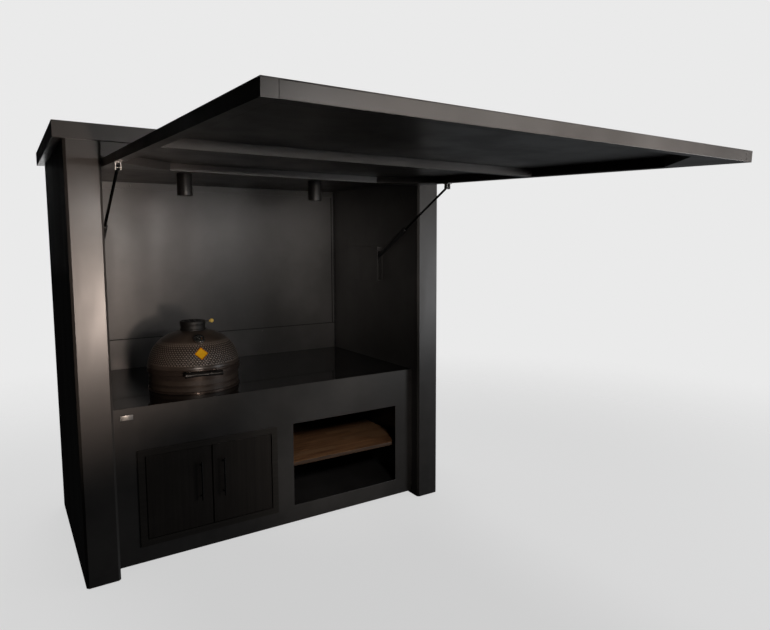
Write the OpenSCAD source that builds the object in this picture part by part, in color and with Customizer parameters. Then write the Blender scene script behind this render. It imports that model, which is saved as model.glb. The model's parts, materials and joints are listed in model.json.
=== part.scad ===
// Outdoor barbecue cabinet: a roofed sheet-metal alcove with a worktop, a charcoal
// kamado let into it, and a canopy that folds down over the front on two gas springs.
// X runs to the right, Y to the back, Z up. The origin is under the middle of the box
// that holds the whole object with its canopy open.

/* [Overall] */
// Width over the two side pillars
overall_w = 2250; // [2000:10:2700]
// Depth from the pillar fronts to the back
depth = 1220; // [1100:10:1500]
// Height of the underside of the roof cap
cap_z = 2270; // [2150:5:2500]
// Height of the worktop surface
counter_z = 900; // [850:5:960]

/* [Shell] */
// Thickness of a side pillar
pillar_w = 165; // [120:1:220]
// Thickness of the folded sheet
sheet = 3; // [2:0.5:4]
// Bevel on the front edges of a pillar
pillar_bevel = 12; // [4:1:20]
// Width of the lip that a pillar turns onto its inner side
pillar_lip = 40; // [36:1:60]
// Height of the roof cap
cap_h = 80; // [50:1:120]
// Overhang of the roof cap at each side
cap_side = 45; // [10:1:80]
// Overhang of the roof cap at the front
cap_front = 15; // [5:1:40]
// Drop from the roof cap to the ceiling panel
ceiling_drop = 80; // [75:1:140]
// Depth of the header beam
header_d = 60; // [40:1:90]
// Thickness of the back wall
back_t = 22; // [16:1:40]
// Number of bays between the stiffeners of the back wall
pan_bays = 4; // [2:1:6]
// Height of the upstand behind the worktop
upstand_h = 208; // [120:1:300]
// Width of the trim strips on the back wall
trim_w = 45; // [20:1:60]
// Thickness of the trim strips
trim_t = 6; // [3:0.5:10]
// Height of the levelling pads
pad_h = 6; // [4:1:12]
// Radius of the levelling pads
pad_r = 30; // [20:1:40]

/* [Base] */
// Setback of the base front behind the pillar fronts
base_recess = 75; // [70:1:110]
// Gap below the base front
base_gap = 30; // [20:1:60]
// Height of the base floor
floor_z = 112; // [90:1:125]
// Thickness of the worktop
counter_t = 20; // [12:1:40]
// Place of the centre partition
divider_x = 10; // [0:1:20]
// Left edge of the door surround
surround_x = -843; // [-860:1:-780]
// Width of the door surround
surround_w = 800; // [760:1:830]
// Bottom of the door surround
surround_z = 120; // [115:1:140]
// Height of the door surround
surround_h = 540; // [480:1:600]
// Width of the door surround's flange
surround_rim = 36; // [25:1:50]
// Depth of the surround's sleeve behind the base front
sleeve_d = 18; // [14:1:30]
// Thickness of the surround's sleeve
sleeve_t = 5; // [4:0.5:8]
// Left edge of the open niche
niche_x = 65; // [50:1:90]
// Width of the open niche
niche_w = 757; // [600:1:790]
// Bottom of the open niche
niche_z = 136; // [130:1:150]
// Height of the open niche
niche_h = 522; // [450:1:560]
// Height of the wooden shelf's surface
shelf_z = 403; // [300:1:480]
// Thickness of the wooden shelf
shelf_t = 24; // [16:1:36]
// Length of the shelf's cut corner along the side
shelf_cut = 240; // [60:1:300]

/* [Doors] */
// Thickness of a door leaf
door_t = 18; // [16:1:24]
// Clearance round a door leaf
door_gap = 2.5; // [2:0.5:4]
// Bevel on the upright edges of a door leaf
door_bevel = 4; // [3:0.5:5]
// Radius of a door pivot pin
pivot_r = 3; // [2:0.5:4]
// Length of a bar handle
handle_h = 225; // [120:1:300]
// Radius of a bar handle
handle_r = 5; // [4:0.5:8]
// Stand-off of a bar handle's centre from the leaf
handle_off = 26; // [18:1:32]
// Distance of a bar handle from the split between the leaves
handle_x = 65; // [40:1:90]

/* [Canopy] */
// Reach of the canopy in front of its pivots
canopy_l = 2138; // [1900:2:2138]
// Width of a canopy rail
rail = 40; // [30:1:50]
// Wall of a canopy rail
rail_wall = 3; // [2:0.5:4]
// Thickness of the canopy's skin
skin_t = 2; // [1:0.5:4]
// Leg of a corner gusset, from the inner corner of the rails
gusset_leg = 285; // [150:1:290]
// Slope of the open canopy down to its front edge
droop = 2.4; // [0:0.1:4]
// Gap between a side rail and the pillar
canopy_gap = 4; // [3:0.5:8]
// Radius of a pivot shaft
shaft_r = 10; // [8:0.5:12]
// Height of the pivot axis below the header
pivot_drop = 28; // [27:0.5:34]
// Distance of the pivot axis behind the pillar fronts
pivot_y = 22; // [22:0.5:26]
// Rear edge of the canopy behind the pivot axis
canopy_back = 12; // [10:1:14]

/* [Gas springs] */
// Distance of the upper spring pivot from the canopy's axis
spring_s = 357; // [330:1:400]
// Drop of the upper spring pivot below the canopy's mid-plane
spring_drop = 44; // [44:1:52]
// Distance of the lower spring pivot behind the pillar fronts
anchor_y = 620; // [600:1:640]
// Drop of the lower spring pivot below the canopy's axis
anchor_drop = 577; // [560:1:590]
// Radius of a spring's cylinder
cyl_r = 14; // [12:0.5:15]
// Radius of a spring's rod
rod_r = 7; // [5:0.5:8]
// Stroke that a spring takes up as the canopy closes
stroke = 500; // [480:1:520]
// Thickness of an end eye
eye_t = 10; // [8:0.5:12]
// Radius of an end eye
eye_r = 11; // [9:0.5:12]
// Radius of the pin in an end eye
pin_r = 4; // [3:0.5:5]
// Running clearance of pins, rods and pistons
run_gap = 0.1; // [0.05:0.01:0.1]
// Depth of a strut housing
housing_d = 40; // [38:1:44]
// Front of a strut housing behind the pillar fronts
housing_y = 450; // [430:1:470]
// Length of a strut housing
housing_l = 430; // [380:1:460]
// Height of a strut housing
housing_h = 246; // [240:1:260]
// Drop of a housing's top below the canopy's axis
housing_drop = 427; // [420:1:432]
// Wall of a strut housing
housing_wall = 2; // [1.5:0.5:3]

/* [Kamado] */
// Centre of the kamado across the cabinet
kamado_x = -425; // [-460:5:-400]
// Centre of the kamado behind the pillar fronts
kamado_y = 450; // [430:5:520]
// Turn of the kamado's front towards the left side
kamado_turn = 5; // [0:1:10]
// Largest radius of the lid
lid_r = 272; // [240:2:280]
// Height of the lid above its seam
lid_h = 240; // [200:2:280]
// Height of the seam above the worktop
seam_up = 106; // [90:1:130]
// Fullness of the lid's outline
lid_power = 2.3; // [2:0.1:3]
// Thickness of the ceramic wall
ceramic = 20; // [15:1:26]
// Radius of the cooking grate
grate_r = 226; // [200:1:230]
// Depth of the kamado below the worktop
bowl_drop = 430; // [380:5:450]
// Height of the metal bands
band_h = 30; // [20:1:40]
// Thickness of the metal bands
band_t = 2.5; // [2:0.5:4]
// Radius of the chimney vent
vent_r = 76; // [60:1:85]
// Height of the chimney vent
vent_h = 58; // [40:1:80]
// Radius of the ball knob on the vent
ball_r = 13; // [9:0.5:16]
// Length of the lid handle
lid_handle_l = 215; // [160:5:260]
// Radius of the lid handle
lid_handle_r = 15; // [10:0.5:18]
// Radius of the thermometer
dial_r = 33; // [24:1:40]
// Side of the plain badge
badge_w = 56; // [30:1:70]

/* [Lights] */
// Radius of a ceiling spotlight
spot_r = 45; // [30:1:60]
// Height of a ceiling spotlight
spot_h = 132; // [80:1:160]
// Distance of a spotlight from the middle
spot_x = 436; // [300:1:500]
// Distance of a spotlight behind the pillar fronts
spot_y = 480; // [300:5:700]

/* [Hidden] */
$fn = 96;
hair = 0.01;
// Free space between bodies that slide or swing past each other
part_gap = 0.5;
half_w = overall_w / 2;
inner_x = half_w - pillar_w;
header_z = cap_z - ceiling_drop + 6;
ceiling_z = cap_z - ceiling_drop;
back_y = depth - back_t;
base_y = base_recess;
canopy_t = rail + skin_t;
axis_z = header_z - pivot_drop;
front_low_y = pivot_y - canopy_l * cos(droop) - canopy_t / 2 * sin(droop);
// Shift that centres the open object, in whole tenths of a millimetre
shift_y = -round(5 * (depth + front_low_y)) / 10;
upstand_z = counter_z + upstand_h;
door_w = (surround_w - 2 * surround_rim - 3 * door_gap) / 2;
door_h = surround_h - 2 * surround_rim - 2 * door_gap;
door_y = base_y - 3;
pivot_in = door_t / 2;
door_x0 = surround_x + surround_rim + door_gap;
door_x1 = door_x0 + door_w + door_gap;
split_x = door_x1 - door_gap / 2;
canopy_half = inner_x - canopy_gap;
spring_x = canopy_half - 16;
anchor = [anchor_y, axis_z - anchor_drop];
hook = [pivot_y - spring_s * cos(droop) + spring_drop * sin(droop),
    axis_z - spring_s * sin(droop) - spring_drop * cos(droop)];
spring_l = norm(anchor - hook);
spring_tilt = atan2(anchor[1] - hook[1], anchor[0] - hook[0]);
rod_out = stroke + 16;
piston_h = 16;
piston_r = cyl_r - 3 - run_gap;
housing_z = axis_z - housing_drop - housing_h;
seam_z = counter_z + seam_up;
bowl_z = counter_z - bowl_drop;
hinge_y = kamado_y + lid_r + 20;
seam_gap = 1.5;
// Heights of the thermometer and the badge on the lid
thermometer_h = 191;
badge_h = 122;
// Fire box: floor height, floor thickness, floor radius, top, air holes and feet
fire_z = bowl_z + 135;
clay_floor = 15;
fire_r = 165;
fire_top = seam_z - 38;
ash_hole_r = 60;
air_ring_r = 105;
air_hole_r = 10;
clay_foot_at = 90;
clay_foot_r = 12;
// Draft opening: height, half width, opening height and distance of its plate from the axis
draft_z = bowl_z + 62;
draft_half = 60;
draft_h = 56;
kamado_wall_y = 224;
// Stand: height of its shelf under the bowl, its distance from front and back, and its three feet
foot_drop = 40;
stand_front = 120;
stand_back = 100;
stand_foot_at = 85;
stand_foot_r = 22;
// Levelling pads: distance from the pillar's sides and from its front and back
pad_side = 45;
pad_end = 60;
// Blank plate on the base
plate_size = [65, 2, 26];
plate_at = [41, 63];
// Space between a handle's end and its post
post_end = 22;
sleeve_x = surround_x + surround_rim - sleeve_t;
sleeve_z = surround_z + surround_rim - sleeve_t;
sleeve_w = surround_w - 2 * surround_rim + 2 * sleeve_t;
sleeve_h = surround_h - 2 * surround_rim + 2 * sleeve_t;

// Outline of the kamado above its seam: radius at a height h over the seam
function lid_radius(h) = lid_r * pow(max(0, 1 - pow(h / lid_h, lid_power)), 1 / lid_power);
// Outline of the kamado below its seam: an egg that narrows to its foot
function bowl_radius(d) = (lid_r - 3) * pow(max(0, 1 - pow(d / (bowl_drop + seam_up + 40), 2.6)), 1 / 2.6);

module place(p = [0, 0, 0]) translate([p[0], p[1] + shift_y, p[2]]) children();
module at_kamado(z = 0) place([kamado_x, kamado_y, z]) rotate([0, 0, -kamado_turn]) children();
module both() { children(); mirror([1, 0, 0]) children(); }
module bar(size, p) place(p) cube(size);
// The canopy's own frame: pivot axis at the origin, canopy reaching along -Y
module in_canopy() place([0, pivot_y, axis_z]) rotate([droop, 0, 0]) children();
// A spring's own frame: upper pivot at the origin, spring running along +Y
module in_spring(side) place([side * spring_x, hook[0], hook[1]]) rotate([spring_tilt, 0, 0]) children();

// Cabinet shell -------------------------------------------------------------

module pillar_outline(inset) {
    b = pillar_bevel;
    polygon([[inner_x + inset, b], [inner_x + b, inset], [half_w - b, inset], [half_w - inset, b],
        [half_w - inset, depth - inset], [inner_x + inset, depth - inset]]);
}
module pillar() {
    place([0, 0, pad_h]) difference() {
        linear_extrude(cap_z - pad_h) pillar_outline(0);
        translate([0, 0, -1]) linear_extrude(cap_z + 2) pillar_outline(sheet);
        translate([inner_x - 1, pillar_lip, -1]) cube([sheet + 2, depth - 2 * pillar_lip, cap_z + 2]);
        translate([inner_x - 1, pivot_y, axis_z - pad_h]) rotate([0, 90, 0]) cylinder(r = shaft_r, h = 10);
    }
}
module pillar_right() { color("dimgray") pillar(); }
module pillar_left() { color("dimgray") mirror([1, 0, 0]) pillar(); }
module lining() { bar([sheet, depth - 2 * pillar_lip, cap_z - pad_h], [inner_x, pillar_lip, pad_h]); }
module lining_right() { color("gray") lining(); }
module lining_left() { color("gray") mirror([1, 0, 0]) lining(); }
module foot_pads() {
    color("black") both() for (x = [inner_x + pad_side, half_w - pad_side], y = [pad_end, depth - pad_end])
        place([x, y, 0]) cylinder(r = pad_r, h = pad_h);
}
module roof_cap() {
    w = overall_w + 2 * cap_side;
    color("dimgray") difference() {
        bar([w, depth + cap_front, cap_h], [-w / 2, -cap_front, cap_z]);
        bar([w - 2 * sheet, depth + cap_front - 2 * sheet, cap_h],
            [-w / 2 + sheet, -cap_front + sheet, cap_z - sheet]);
    }
}
module roof_underplate() {
    w = overall_w + 2 * cap_side - 2 * sheet;
    color("dimgray") bar([w, depth + cap_front - 2 * sheet, sheet], [-w / 2, -cap_front + sheet, cap_z]);
}
module header() {
    color("dimgray") difference() {
        bar([2 * inner_x, header_d, cap_z - header_z], [-inner_x, sheet, header_z]);
        bar([2 * inner_x + 2, header_d - 2 * sheet, cap_z - header_z - 2 * sheet],
            [-inner_x - 1, 2 * sheet, header_z + sheet]);
    }
}
module ceiling_panel() {
    color("gray") bar([2 * inner_x, back_y - header_d - sheet, sheet], [-inner_x, header_d + sheet, ceiling_z]);
}
// A folded pan as wide as the alcove, open to the back, with upright stiffeners
module back_pan(z, h, y) {
    w = 2 * inner_x;
    d = depth - y;
    bay = (w - (pan_bays + 1) * sheet) / pan_bays;
    difference() {
        bar([w, d, h], [-inner_x, y, z]);
        for (i = [0:pan_bays - 1])
            bar([bay, d, h - 2 * sheet], [-inner_x + sheet + i * (bay + sheet), y + sheet, z + sheet]);
    }
}
module back_panel_upper() { color("lightgray") back_pan(upstand_z, cap_z - upstand_z, back_y); }
module back_upstand() { color("gray") back_pan(counter_z, upstand_h - 2, back_y - trim_t); }
module back_panel_lower() { color("gray") back_pan(base_gap, counter_z - base_gap, back_y); }
module back_trim() {
    color("lightgray") difference() {
        bar([2 * inner_x, trim_t, ceiling_z - upstand_z], [-inner_x, back_y - trim_t, upstand_z]);
        bar([2 * inner_x - trim_w, trim_t + 2, ceiling_z - upstand_z - trim_w + 1],
            [-inner_x + trim_w / 2, back_y - trim_t - 1, upstand_z - 1]);
    }
}

// Base ----------------------------------------------------------------------

module base_front() {
    color("gray") difference() {
        bar([2 * inner_x, sheet, counter_z - base_gap], [-inner_x, base_y, base_gap]);
        bar([sleeve_w, sheet + 2, sleeve_h], [sleeve_x, base_y - 1, sleeve_z]);
        bar([niche_w, sheet + 2, niche_h], [niche_x, base_y - 1, niche_z]);
    }
}
module base_floor() {
    color("dimgray") bar([2 * inner_x, back_y - base_y - sheet, sheet], [-inner_x, base_y + sheet, floor_z]);
}
module divider() {
    color("dimgray") bar([sheet, back_y - base_y - sheet, counter_z - counter_t - floor_z - sheet],
        [divider_x, base_y + sheet, floor_z + sheet]);
}
module worktop() {
    color([0.08, 0.08, 0.09]) difference() {
        bar([2 * inner_x, back_y - trim_t - base_y - sheet, counter_t],
            [-inner_x, base_y + sheet, counter_z - counter_t]);
        at_kamado(counter_z - counter_t - 1) cylinder(r = lid_r - 2, h = counter_t + 2);
    }
}
module name_plate() {
    color("silver") bar(plate_size, [-inner_x + plate_at[0], base_y - plate_size[1], counter_z - plate_at[1]]);
}
module door_surround() {
    color([0.22, 0.19, 0.17]) difference() {
        union() {
            bar([surround_w, 6, surround_h], [surround_x, base_y - 6, surround_z]);
            bar([sleeve_w, sheet + sleeve_d, sleeve_h], [sleeve_x, base_y - hair, sleeve_z]);
        }
        bar([surround_w - 2 * surround_rim, 80, surround_h - 2 * surround_rim],
            [surround_x + surround_rim, base_y - 20, surround_z + surround_rim]);
        door_pins(pivot_r, 1);
    }
}
// Pins on the two door axes, at the top and at the bottom
module door_pins(r, extra) {
    z0 = surround_z + surround_rim - sleeve_t + 1;
    z1 = surround_z + surround_h - surround_rim + sleeve_t - 1;
    l = sleeve_t + door_gap + 10;
    for (x = [door_x0 + pivot_in, door_x1 + door_w - pivot_in]) {
        place([x, door_y + pivot_in, z0 - extra + 1 - hair]) cylinder(r = r, h = l + extra - 1);
        place([x, door_y + pivot_in, z1 - l]) cylinder(r = r, h = l + extra - 1 + hair);
    }
}
module door_pivots() { color("silver") door_pins(pivot_r, 1); }
module niche_shelf() {
    x0 = divider_x + sheet;
    y0 = base_y + sheet + 20;
    color("peru") place([0, 0, shelf_z - shelf_t]) linear_extrude(shelf_t)
        polygon([[x0 + 2, y0], [niche_x + niche_w - 10, y0], [inner_x - 22, y0 + shelf_cut],
            [inner_x - 22, back_y - 30], [x0 + 2, back_y - 30]]);
}
module shelf_rests() {
    z = shelf_z - shelf_t - 20;
    color("gray") bar([20, 700, 20], [divider_x + sheet, base_y + 160, z]);
    color("gray") bar([30, 700, 20], [inner_x - 30, base_y + 360, z]);
}
module spot_housings() {
    color("black") both() place([spot_x, spot_y, ceiling_z - spot_h]) difference() {
        cylinder(r = spot_r, h = spot_h);
        translate([0, 0, -1]) cylinder(r = spot_r - 4, h = 16);
    }
}
module spot_lenses() {
    color("white") both() place([spot_x, spot_y, ceiling_z - spot_h + 9]) cylinder(r = spot_r - 4, h = 6);
}

// Doors ---------------------------------------------------------------------

module door_leaf(x) {
    b = door_bevel;
    z = surround_z + surround_rim + door_gap;
    color([0.25, 0.21, 0.18]) difference() {
        place([x, door_y, z]) linear_extrude(door_h)
            polygon([[b, 0], [door_w - b, 0], [door_w, b], [door_w, door_t - b], [door_w - b, door_t],
                [b, door_t], [0, door_t - b], [0, b]]);
        bar([door_w - 40, door_t, door_h - 40], [x + 20, door_y + sheet, z + 20]);
        door_pins(pivot_r + run_gap, 1 + run_gap);
    }
}
module bar_handle(x) {
    z = surround_z + surround_h / 2 + 38;
    y = door_y - handle_off;
    color("black") place([x, y, z - handle_h / 2]) cylinder(r = handle_r, h = handle_h);
    color("black") for (s = [-1, 1]) place([x, y + hair, z + s * (handle_h / 2 - post_end)])
        rotate([-90, 0, 0]) cylinder(r = handle_r - 1.5, h = handle_off - hair);
}
module door_left() { door_leaf(door_x0); }
module door_right() { door_leaf(door_x1); }
module handle_left() { bar_handle(split_x - handle_x); }
module handle_right() { bar_handle(split_x + handle_x); }

// Canopy --------------------------------------------------------------------

module tube_x(l, p) {
    translate(p) difference() {
        cube([l, rail, rail]);
        translate([-1, rail_wall, rail_wall]) cube([l + 2, rail - 2 * rail_wall, rail - 2 * rail_wall]);
    }
}
module side_rails() {
    z = -canopy_t / 2;
    color("dimgray") in_canopy() both() difference() {
        translate([canopy_half - rail, -canopy_l, z]) cube([rail, canopy_l + canopy_back, rail]);
        translate([canopy_half - rail + rail_wall, -canopy_l + rail_wall, z + rail_wall])
            cube([rail - 2 * rail_wall, canopy_l + canopy_back, rail - 2 * rail_wall]);
        translate([canopy_half - rail - 1, 0, 0]) rotate([0, 90, 0]) cylinder(r = shaft_r + 1, h = rail + 2);
    }
}
module cross_rails() {
    l = 2 * (canopy_half - rail);
    color("dimgray") in_canopy()
        for (y = [-canopy_l, (canopy_back - canopy_l - rail) / 2, canopy_back - rail])
            tube_x(l, [-l / 2, y, -canopy_t / 2]);
}
// A hollow corner gusset: two plates and an oblique web, open towards the rails
module gusset(dir) {
    g = gusset_leg;
    w = 1.5 * rail_wall;
    difference() {
        linear_extrude(rail) polygon([[0, 0], [-g, 0], [0, dir * g]]);
        translate([0, 0, rail_wall]) linear_extrude(rail - 2 * rail_wall)
            polygon([[1, -dir], [w - g, -dir], [w - g, 0], [0, dir * (g - w)], [1, dir * (g - w)]]);
    }
}
module corner_gussets() {
    color("gray") in_canopy() both() translate([canopy_half - rail, 0, -canopy_t / 2]) {
        translate([0, -canopy_l + rail, 0]) gusset(1);
        translate([0, canopy_back - rail, 0]) gusset(-1);
    }
}
module canopy_skin() {
    color("dimgray") in_canopy() translate([-canopy_half, -canopy_l, rail - canopy_t / 2])
        cube([2 * canopy_half, canopy_l + canopy_back, skin_t]);
}
module pivot_blocks() {
    w = rail - 2 * rail_wall;
    color("silver") in_canopy() both() difference() {
        translate([canopy_half - rail + rail_wall, -40, -canopy_t / 2 + rail_wall])
            cube([w, 40 + canopy_back, w]);
        translate([canopy_half - rail, 0, 0]) rotate([0, 90, 0]) cylinder(r = shaft_r + run_gap, h = rail);
    }
}
module canopy_shafts() {
    color("silver") both() place([0, pivot_y, axis_z]) rotate([0, 90, 0]) {
        translate([0, 0, canopy_half - rail + rail_wall + 1])
            cylinder(r = shaft_r, h = rail - rail_wall - 1 + canopy_gap + sheet);
        // Head inside the pillar, with a flat beside the pillar's bevel
        translate([0, 0, inner_x + sheet]) intersection() {
            cylinder(r = shaft_r + 6, h = 8);
            translate([-2 * shaft_r, pillar_bevel + part_gap - pivot_y, -1]) cube([4 * shaft_r, 4 * shaft_r, 10]);
        }
    }
}
module bracket(side) {
    z0 = -canopy_t / 2;
    cheek = 4;
    color("silver") in_canopy() translate([side * spring_x, -spring_s, 0]) {
        translate([-14, -26, z0 - cheek]) cube([28, 52, cheek]);
        for (x = [-13, 13 - cheek]) difference() {
            translate([x, -14, -spring_drop - 12]) cube([cheek, 28, spring_drop + z0 + 12 - cheek + hair]);
            translate([x - 1, 0, -spring_drop]) rotate([0, 90, 0]) cylinder(r = pin_r, h = cheek + 2);
        }
        translate([-15, 0, -spring_drop]) rotate([0, 90, 0]) cylinder(r = pin_r, h = 30);
    }
}
module bracket_left() { bracket(-1); }
module bracket_right() { bracket(1); }

// Gas springs ---------------------------------------------------------------

module eye(bore_r) {
    difference() {
        translate([-eye_t / 2, 0, 0]) rotate([0, 90, 0]) cylinder(r = eye_r, h = eye_t);
        translate([-eye_t, 0, 0]) rotate([0, 90, 0]) cylinder(r = bore_r, h = 2 * eye_t);
    }
}
module rod(side) {
    color("black") in_spring(side) {
        eye(pin_r + run_gap);
        translate([0, eye_r - 1, 0]) rotate([-90, 0, 0]) cylinder(r = rod_r - 1.5, h = 9);
        translate([0, eye_r + 7, 0]) rotate([-90, 0, 0]) cylinder(r = rod_r, h = rod_out - eye_r + 5 + run_gap);
        translate([0, rod_out + 12, 0]) rotate([-90, 0, 0]) cylinder(r = piston_r, h = piston_h);
    }
}
module cylinder_tube(side) {
    end = spring_l - eye_r - 8;
    color([0.12, 0.12, 0.12]) in_spring(side) {
        difference() {
            translate([0, rod_out, 0]) rotate([-90, 0, 0]) cylinder(r = cyl_r, h = end - rod_out);
            translate([0, rod_out + 8, 0]) rotate([-90, 0, 0])
                cylinder(r = piston_r + run_gap, h = end - rod_out - 16);
            translate([0, rod_out - 1, 0]) rotate([-90, 0, 0]) cylinder(r = rod_r + run_gap, h = 12);
        }
        translate([0, end - hair, 0]) rotate([-90, 0, 0]) cylinder(r = rod_r - 2, h = 9);
        translate([0, spring_l, 0]) eye(pin_r + 1);
    }
}
module rod_left() { rod(-1); }
module rod_right() { rod(1); }
module cylinder_left() { cylinder_tube(-1); }
module cylinder_right() { cylinder_tube(1); }

module strut_faces() {
    color("gray") both() bar([housing_wall, housing_l, housing_h], [inner_x - housing_d, housing_y, housing_z]);
}
module strut_rims() {
    w = housing_wall;
    d = housing_d - w;
    color("gray") both() difference() {
        bar([d, housing_l, housing_h], [inner_x - d, housing_y, housing_z]);
        bar([d + 2, housing_l - 2 * w, housing_h - 2 * w], [inner_x - d - 1, housing_y + w, housing_z + w]);
        bar([d - 4, 3 * w, housing_h - 30], [inner_x - d + 1, housing_y - w, housing_z + w]);
    }
}
module strut_studs() {
    x = spring_x + eye_t / 2 + part_gap;
    color("silver") both() place([x, anchor[0], anchor[1]]) rotate([0, 90, 0])
        cylinder(r = pin_r + 2, h = inner_x - x);
}

// Kamado --------------------------------------------------------------------

module kamado_stand() {
    z = bowl_z - foot_drop;
    deep = back_y - base_y - sheet - stand_front - stand_back;
    color("dimgray") bar([divider_x + inner_x, deep, sheet], [-inner_x, base_y + stand_front, z]);
    color("dimgray") for (a = [30, 150, 270]) at_kamado(z + sheet) rotate([0, 0, a])
        translate([stand_foot_at, 0, 0]) cylinder(r = stand_foot_r, h = foot_drop - sheet - seam_gap);
}
// Collar that lines the round cut-out of the worktop
module worktop_ring() {
    out = lid_r - 2;
    in = lid_r - 9;
    color("dimgray") at_kamado(counter_z) rotate_extrude() polygon([[in, -counter_t], [out, -counter_t],
        [out, 8], [out - 3, 11], [in, 11]]);
}
// Closed half outline of the shell: out along the outer wall, back along the inner wall
module kamado_shell() {
    n = 22;
    deep = bowl_drop + seam_up;
    ring = lid_r - 10;
    outer = [for (i = [0:n]) let (d = deep * i / n) [min(ring, bowl_radius(d) - 7), -d]];
    inner = [for (i = [n:-1:0]) let (d = (deep - ceramic) * i / n)
        [min(ring, bowl_radius(d) - 7) - ceramic, -d]];
    color([0.45, 0.4, 0.36]) at_kamado(seam_z - seam_gap) difference() {
        rotate_extrude() polygon(concat([[0, -deep]], [for (i = [n:-1:0]) outer[i]],
            [for (i = [n:-1:0]) inner[i]], [[0, -deep + ceramic]]));
        draft_hole();
    }
}
// Space of the draft opening, seen from the kamado's axis at the seam
module draft_hole() {
    translate([-draft_half, -lid_r + 12, draft_z - seam_z + seam_gap]) cube([2 * draft_half, 200, draft_h]);
}

module lower_band() {
    r = lid_r - 10;
    lug = 12;
    color("silver") at_kamado(seam_z - seam_gap) {
        difference() {
            union() {
                translate([0, 0, -band_h]) cylinder(r = r + band_t, h = band_h);
                translate([0, 0, -band_h - 42]) cylinder(r = r + band_t, h = 14);
            }
            translate([0, 0, -band_h - 60]) cylinder(r = r, h = band_h + 80);
        }
        for (x = [-60, 40]) difference() {
            union() {
                translate([x, r - 6, -lug - 12]) cube([20, hinge_y - kamado_y - r + 6, lug + 12]);
                translate([x, hinge_y - kamado_y, seam_gap]) rotate([0, 90, 0]) cylinder(r = lug, h = 20);
            }
            translate([0, 0, -band_h]) cylinder(r = r + band_t - hair, h = band_h + 2);
        }
        translate([-65, hinge_y - kamado_y, seam_gap]) rotate([0, 90, 0]) cylinder(r = 6, h = 130);
    }
}
// Clay wall round the charcoal, flaring up to the cooking grate
module fire_box() {
    z0 = fire_z + clay_floor;
    color([0.6, 0.55, 0.48]) at_kamado() rotate_extrude() polygon([[fire_r, z0], [fire_r + 40, z0 + 80],
        [fire_r + 52, z0 + 255], [fire_r + 57, fire_top], [fire_r + 39, fire_top],
        [fire_r + 34, z0 + 255], [fire_r + 22, z0 + 80], [fire_r - 15, z0]]);
}
// Clay floor under the charcoal, with air holes, standing on three feet
module fire_plate() {
    foot = bowl_z + ceramic;
    color([0.6, 0.55, 0.48]) at_kamado() {
        difference() {
            translate([0, 0, fire_z]) cylinder(r = fire_r, h = clay_floor);
            translate([0, 0, fire_z - 1]) cylinder(r = ash_hole_r, h = clay_floor + 2);
            for (a = [0:45:315]) rotate([0, 0, a]) translate([air_ring_r, 0, fire_z - 1])
                cylinder(r = air_hole_r, h = clay_floor + 2);
        }
        for (a = [90, 210, 330]) rotate([0, 0, a]) translate([clay_foot_at, 0, foot])
            cylinder(r = clay_foot_r, h = fire_z - foot + hair);
    }
}
module grate(r, z, pitch) {
    at_kamado(z) {
        difference() {
            cylinder(r = r, h = 8);
            translate([0, 0, -1]) cylinder(r = r - 8, h = 10);
        }
        for (x = [-floor((r - 12) / pitch):floor((r - 12) / pitch)])
            let (half = sqrt((r - 6) * (r - 6) - x * x * pitch * pitch))
            translate([x * pitch, half, 4]) rotate([90, 0, 0]) cylinder(r = 3, h = 2 * half);
    }
}
module grates() {
    color("silver") grate(grate_r - 12, fire_top, 20);
    color("dimgray") grate(fire_r - 25, fire_z + clay_floor, 24);
}
// Slide rails, plate and lined opening of the draft door
module draft_frame() {
    y = -kamado_wall_y;
    w = 2 * draft_half + 125;
    x = -draft_half - 15;
    color("silver") at_kamado(draft_z) difference() {
        union() {
            translate([x, y, -8]) cube([w, sheet, draft_h + 16]);
            translate([0.5 - draft_half, y + sheet - hair, 0.5]) cube([2 * draft_half - 1, 50, draft_h - 1]);
            for (z = [-8, draft_h + 4]) translate([x, y - 8, z]) cube([w, 8 + hair, 4]);
        }
        translate([4 - draft_half, y - 16, 4]) cube([2 * draft_half - 8, 90, draft_h - 8]);
    }
}
// Sliding plate with its pull
module draft_door() {
    y = -kamado_wall_y - sheet - part_gap;
    color("silver") at_kamado(draft_z + part_gap - 4) {
        translate([-draft_half - 2, y, 0]) cube([2 * draft_half + 4, sheet, draft_h + 8 - 2 * part_gap]);
        translate([-5, y - 12, 20]) cube([10, 12 + hair, 22]);
    }
}

// Kamado lid ----------------------------------------------------------------

function lid_height(r) = lid_h * pow(1 - pow(r / lid_r, lid_power), 1 / lid_power);
function lid_lean(h) = atan2(pow(h / lid_h, lid_power - 1) / lid_h,
    pow(lid_radius(h) / lid_r, lid_power - 1) / lid_r);
// Outline of a dome of the lid's shape, from its rim to its crown
function dome(r, h, n) = [for (i = [0:n]) let (a = 90 * i / n)
    [r * pow(cos(a), 2 / lid_power), h * pow(sin(a), 2 / lid_power)]];
module at_lid() at_kamado(seam_z + seam_gap) children();
// A place on the front of the lid at height h, with Z outwards from the surface
module lid_spot(h) translate([0, -lid_radius(h), h]) rotate([90 - lid_lean(h), 0, 0]) children();
module on_lid(h) at_lid() lid_spot(h) children();

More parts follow.
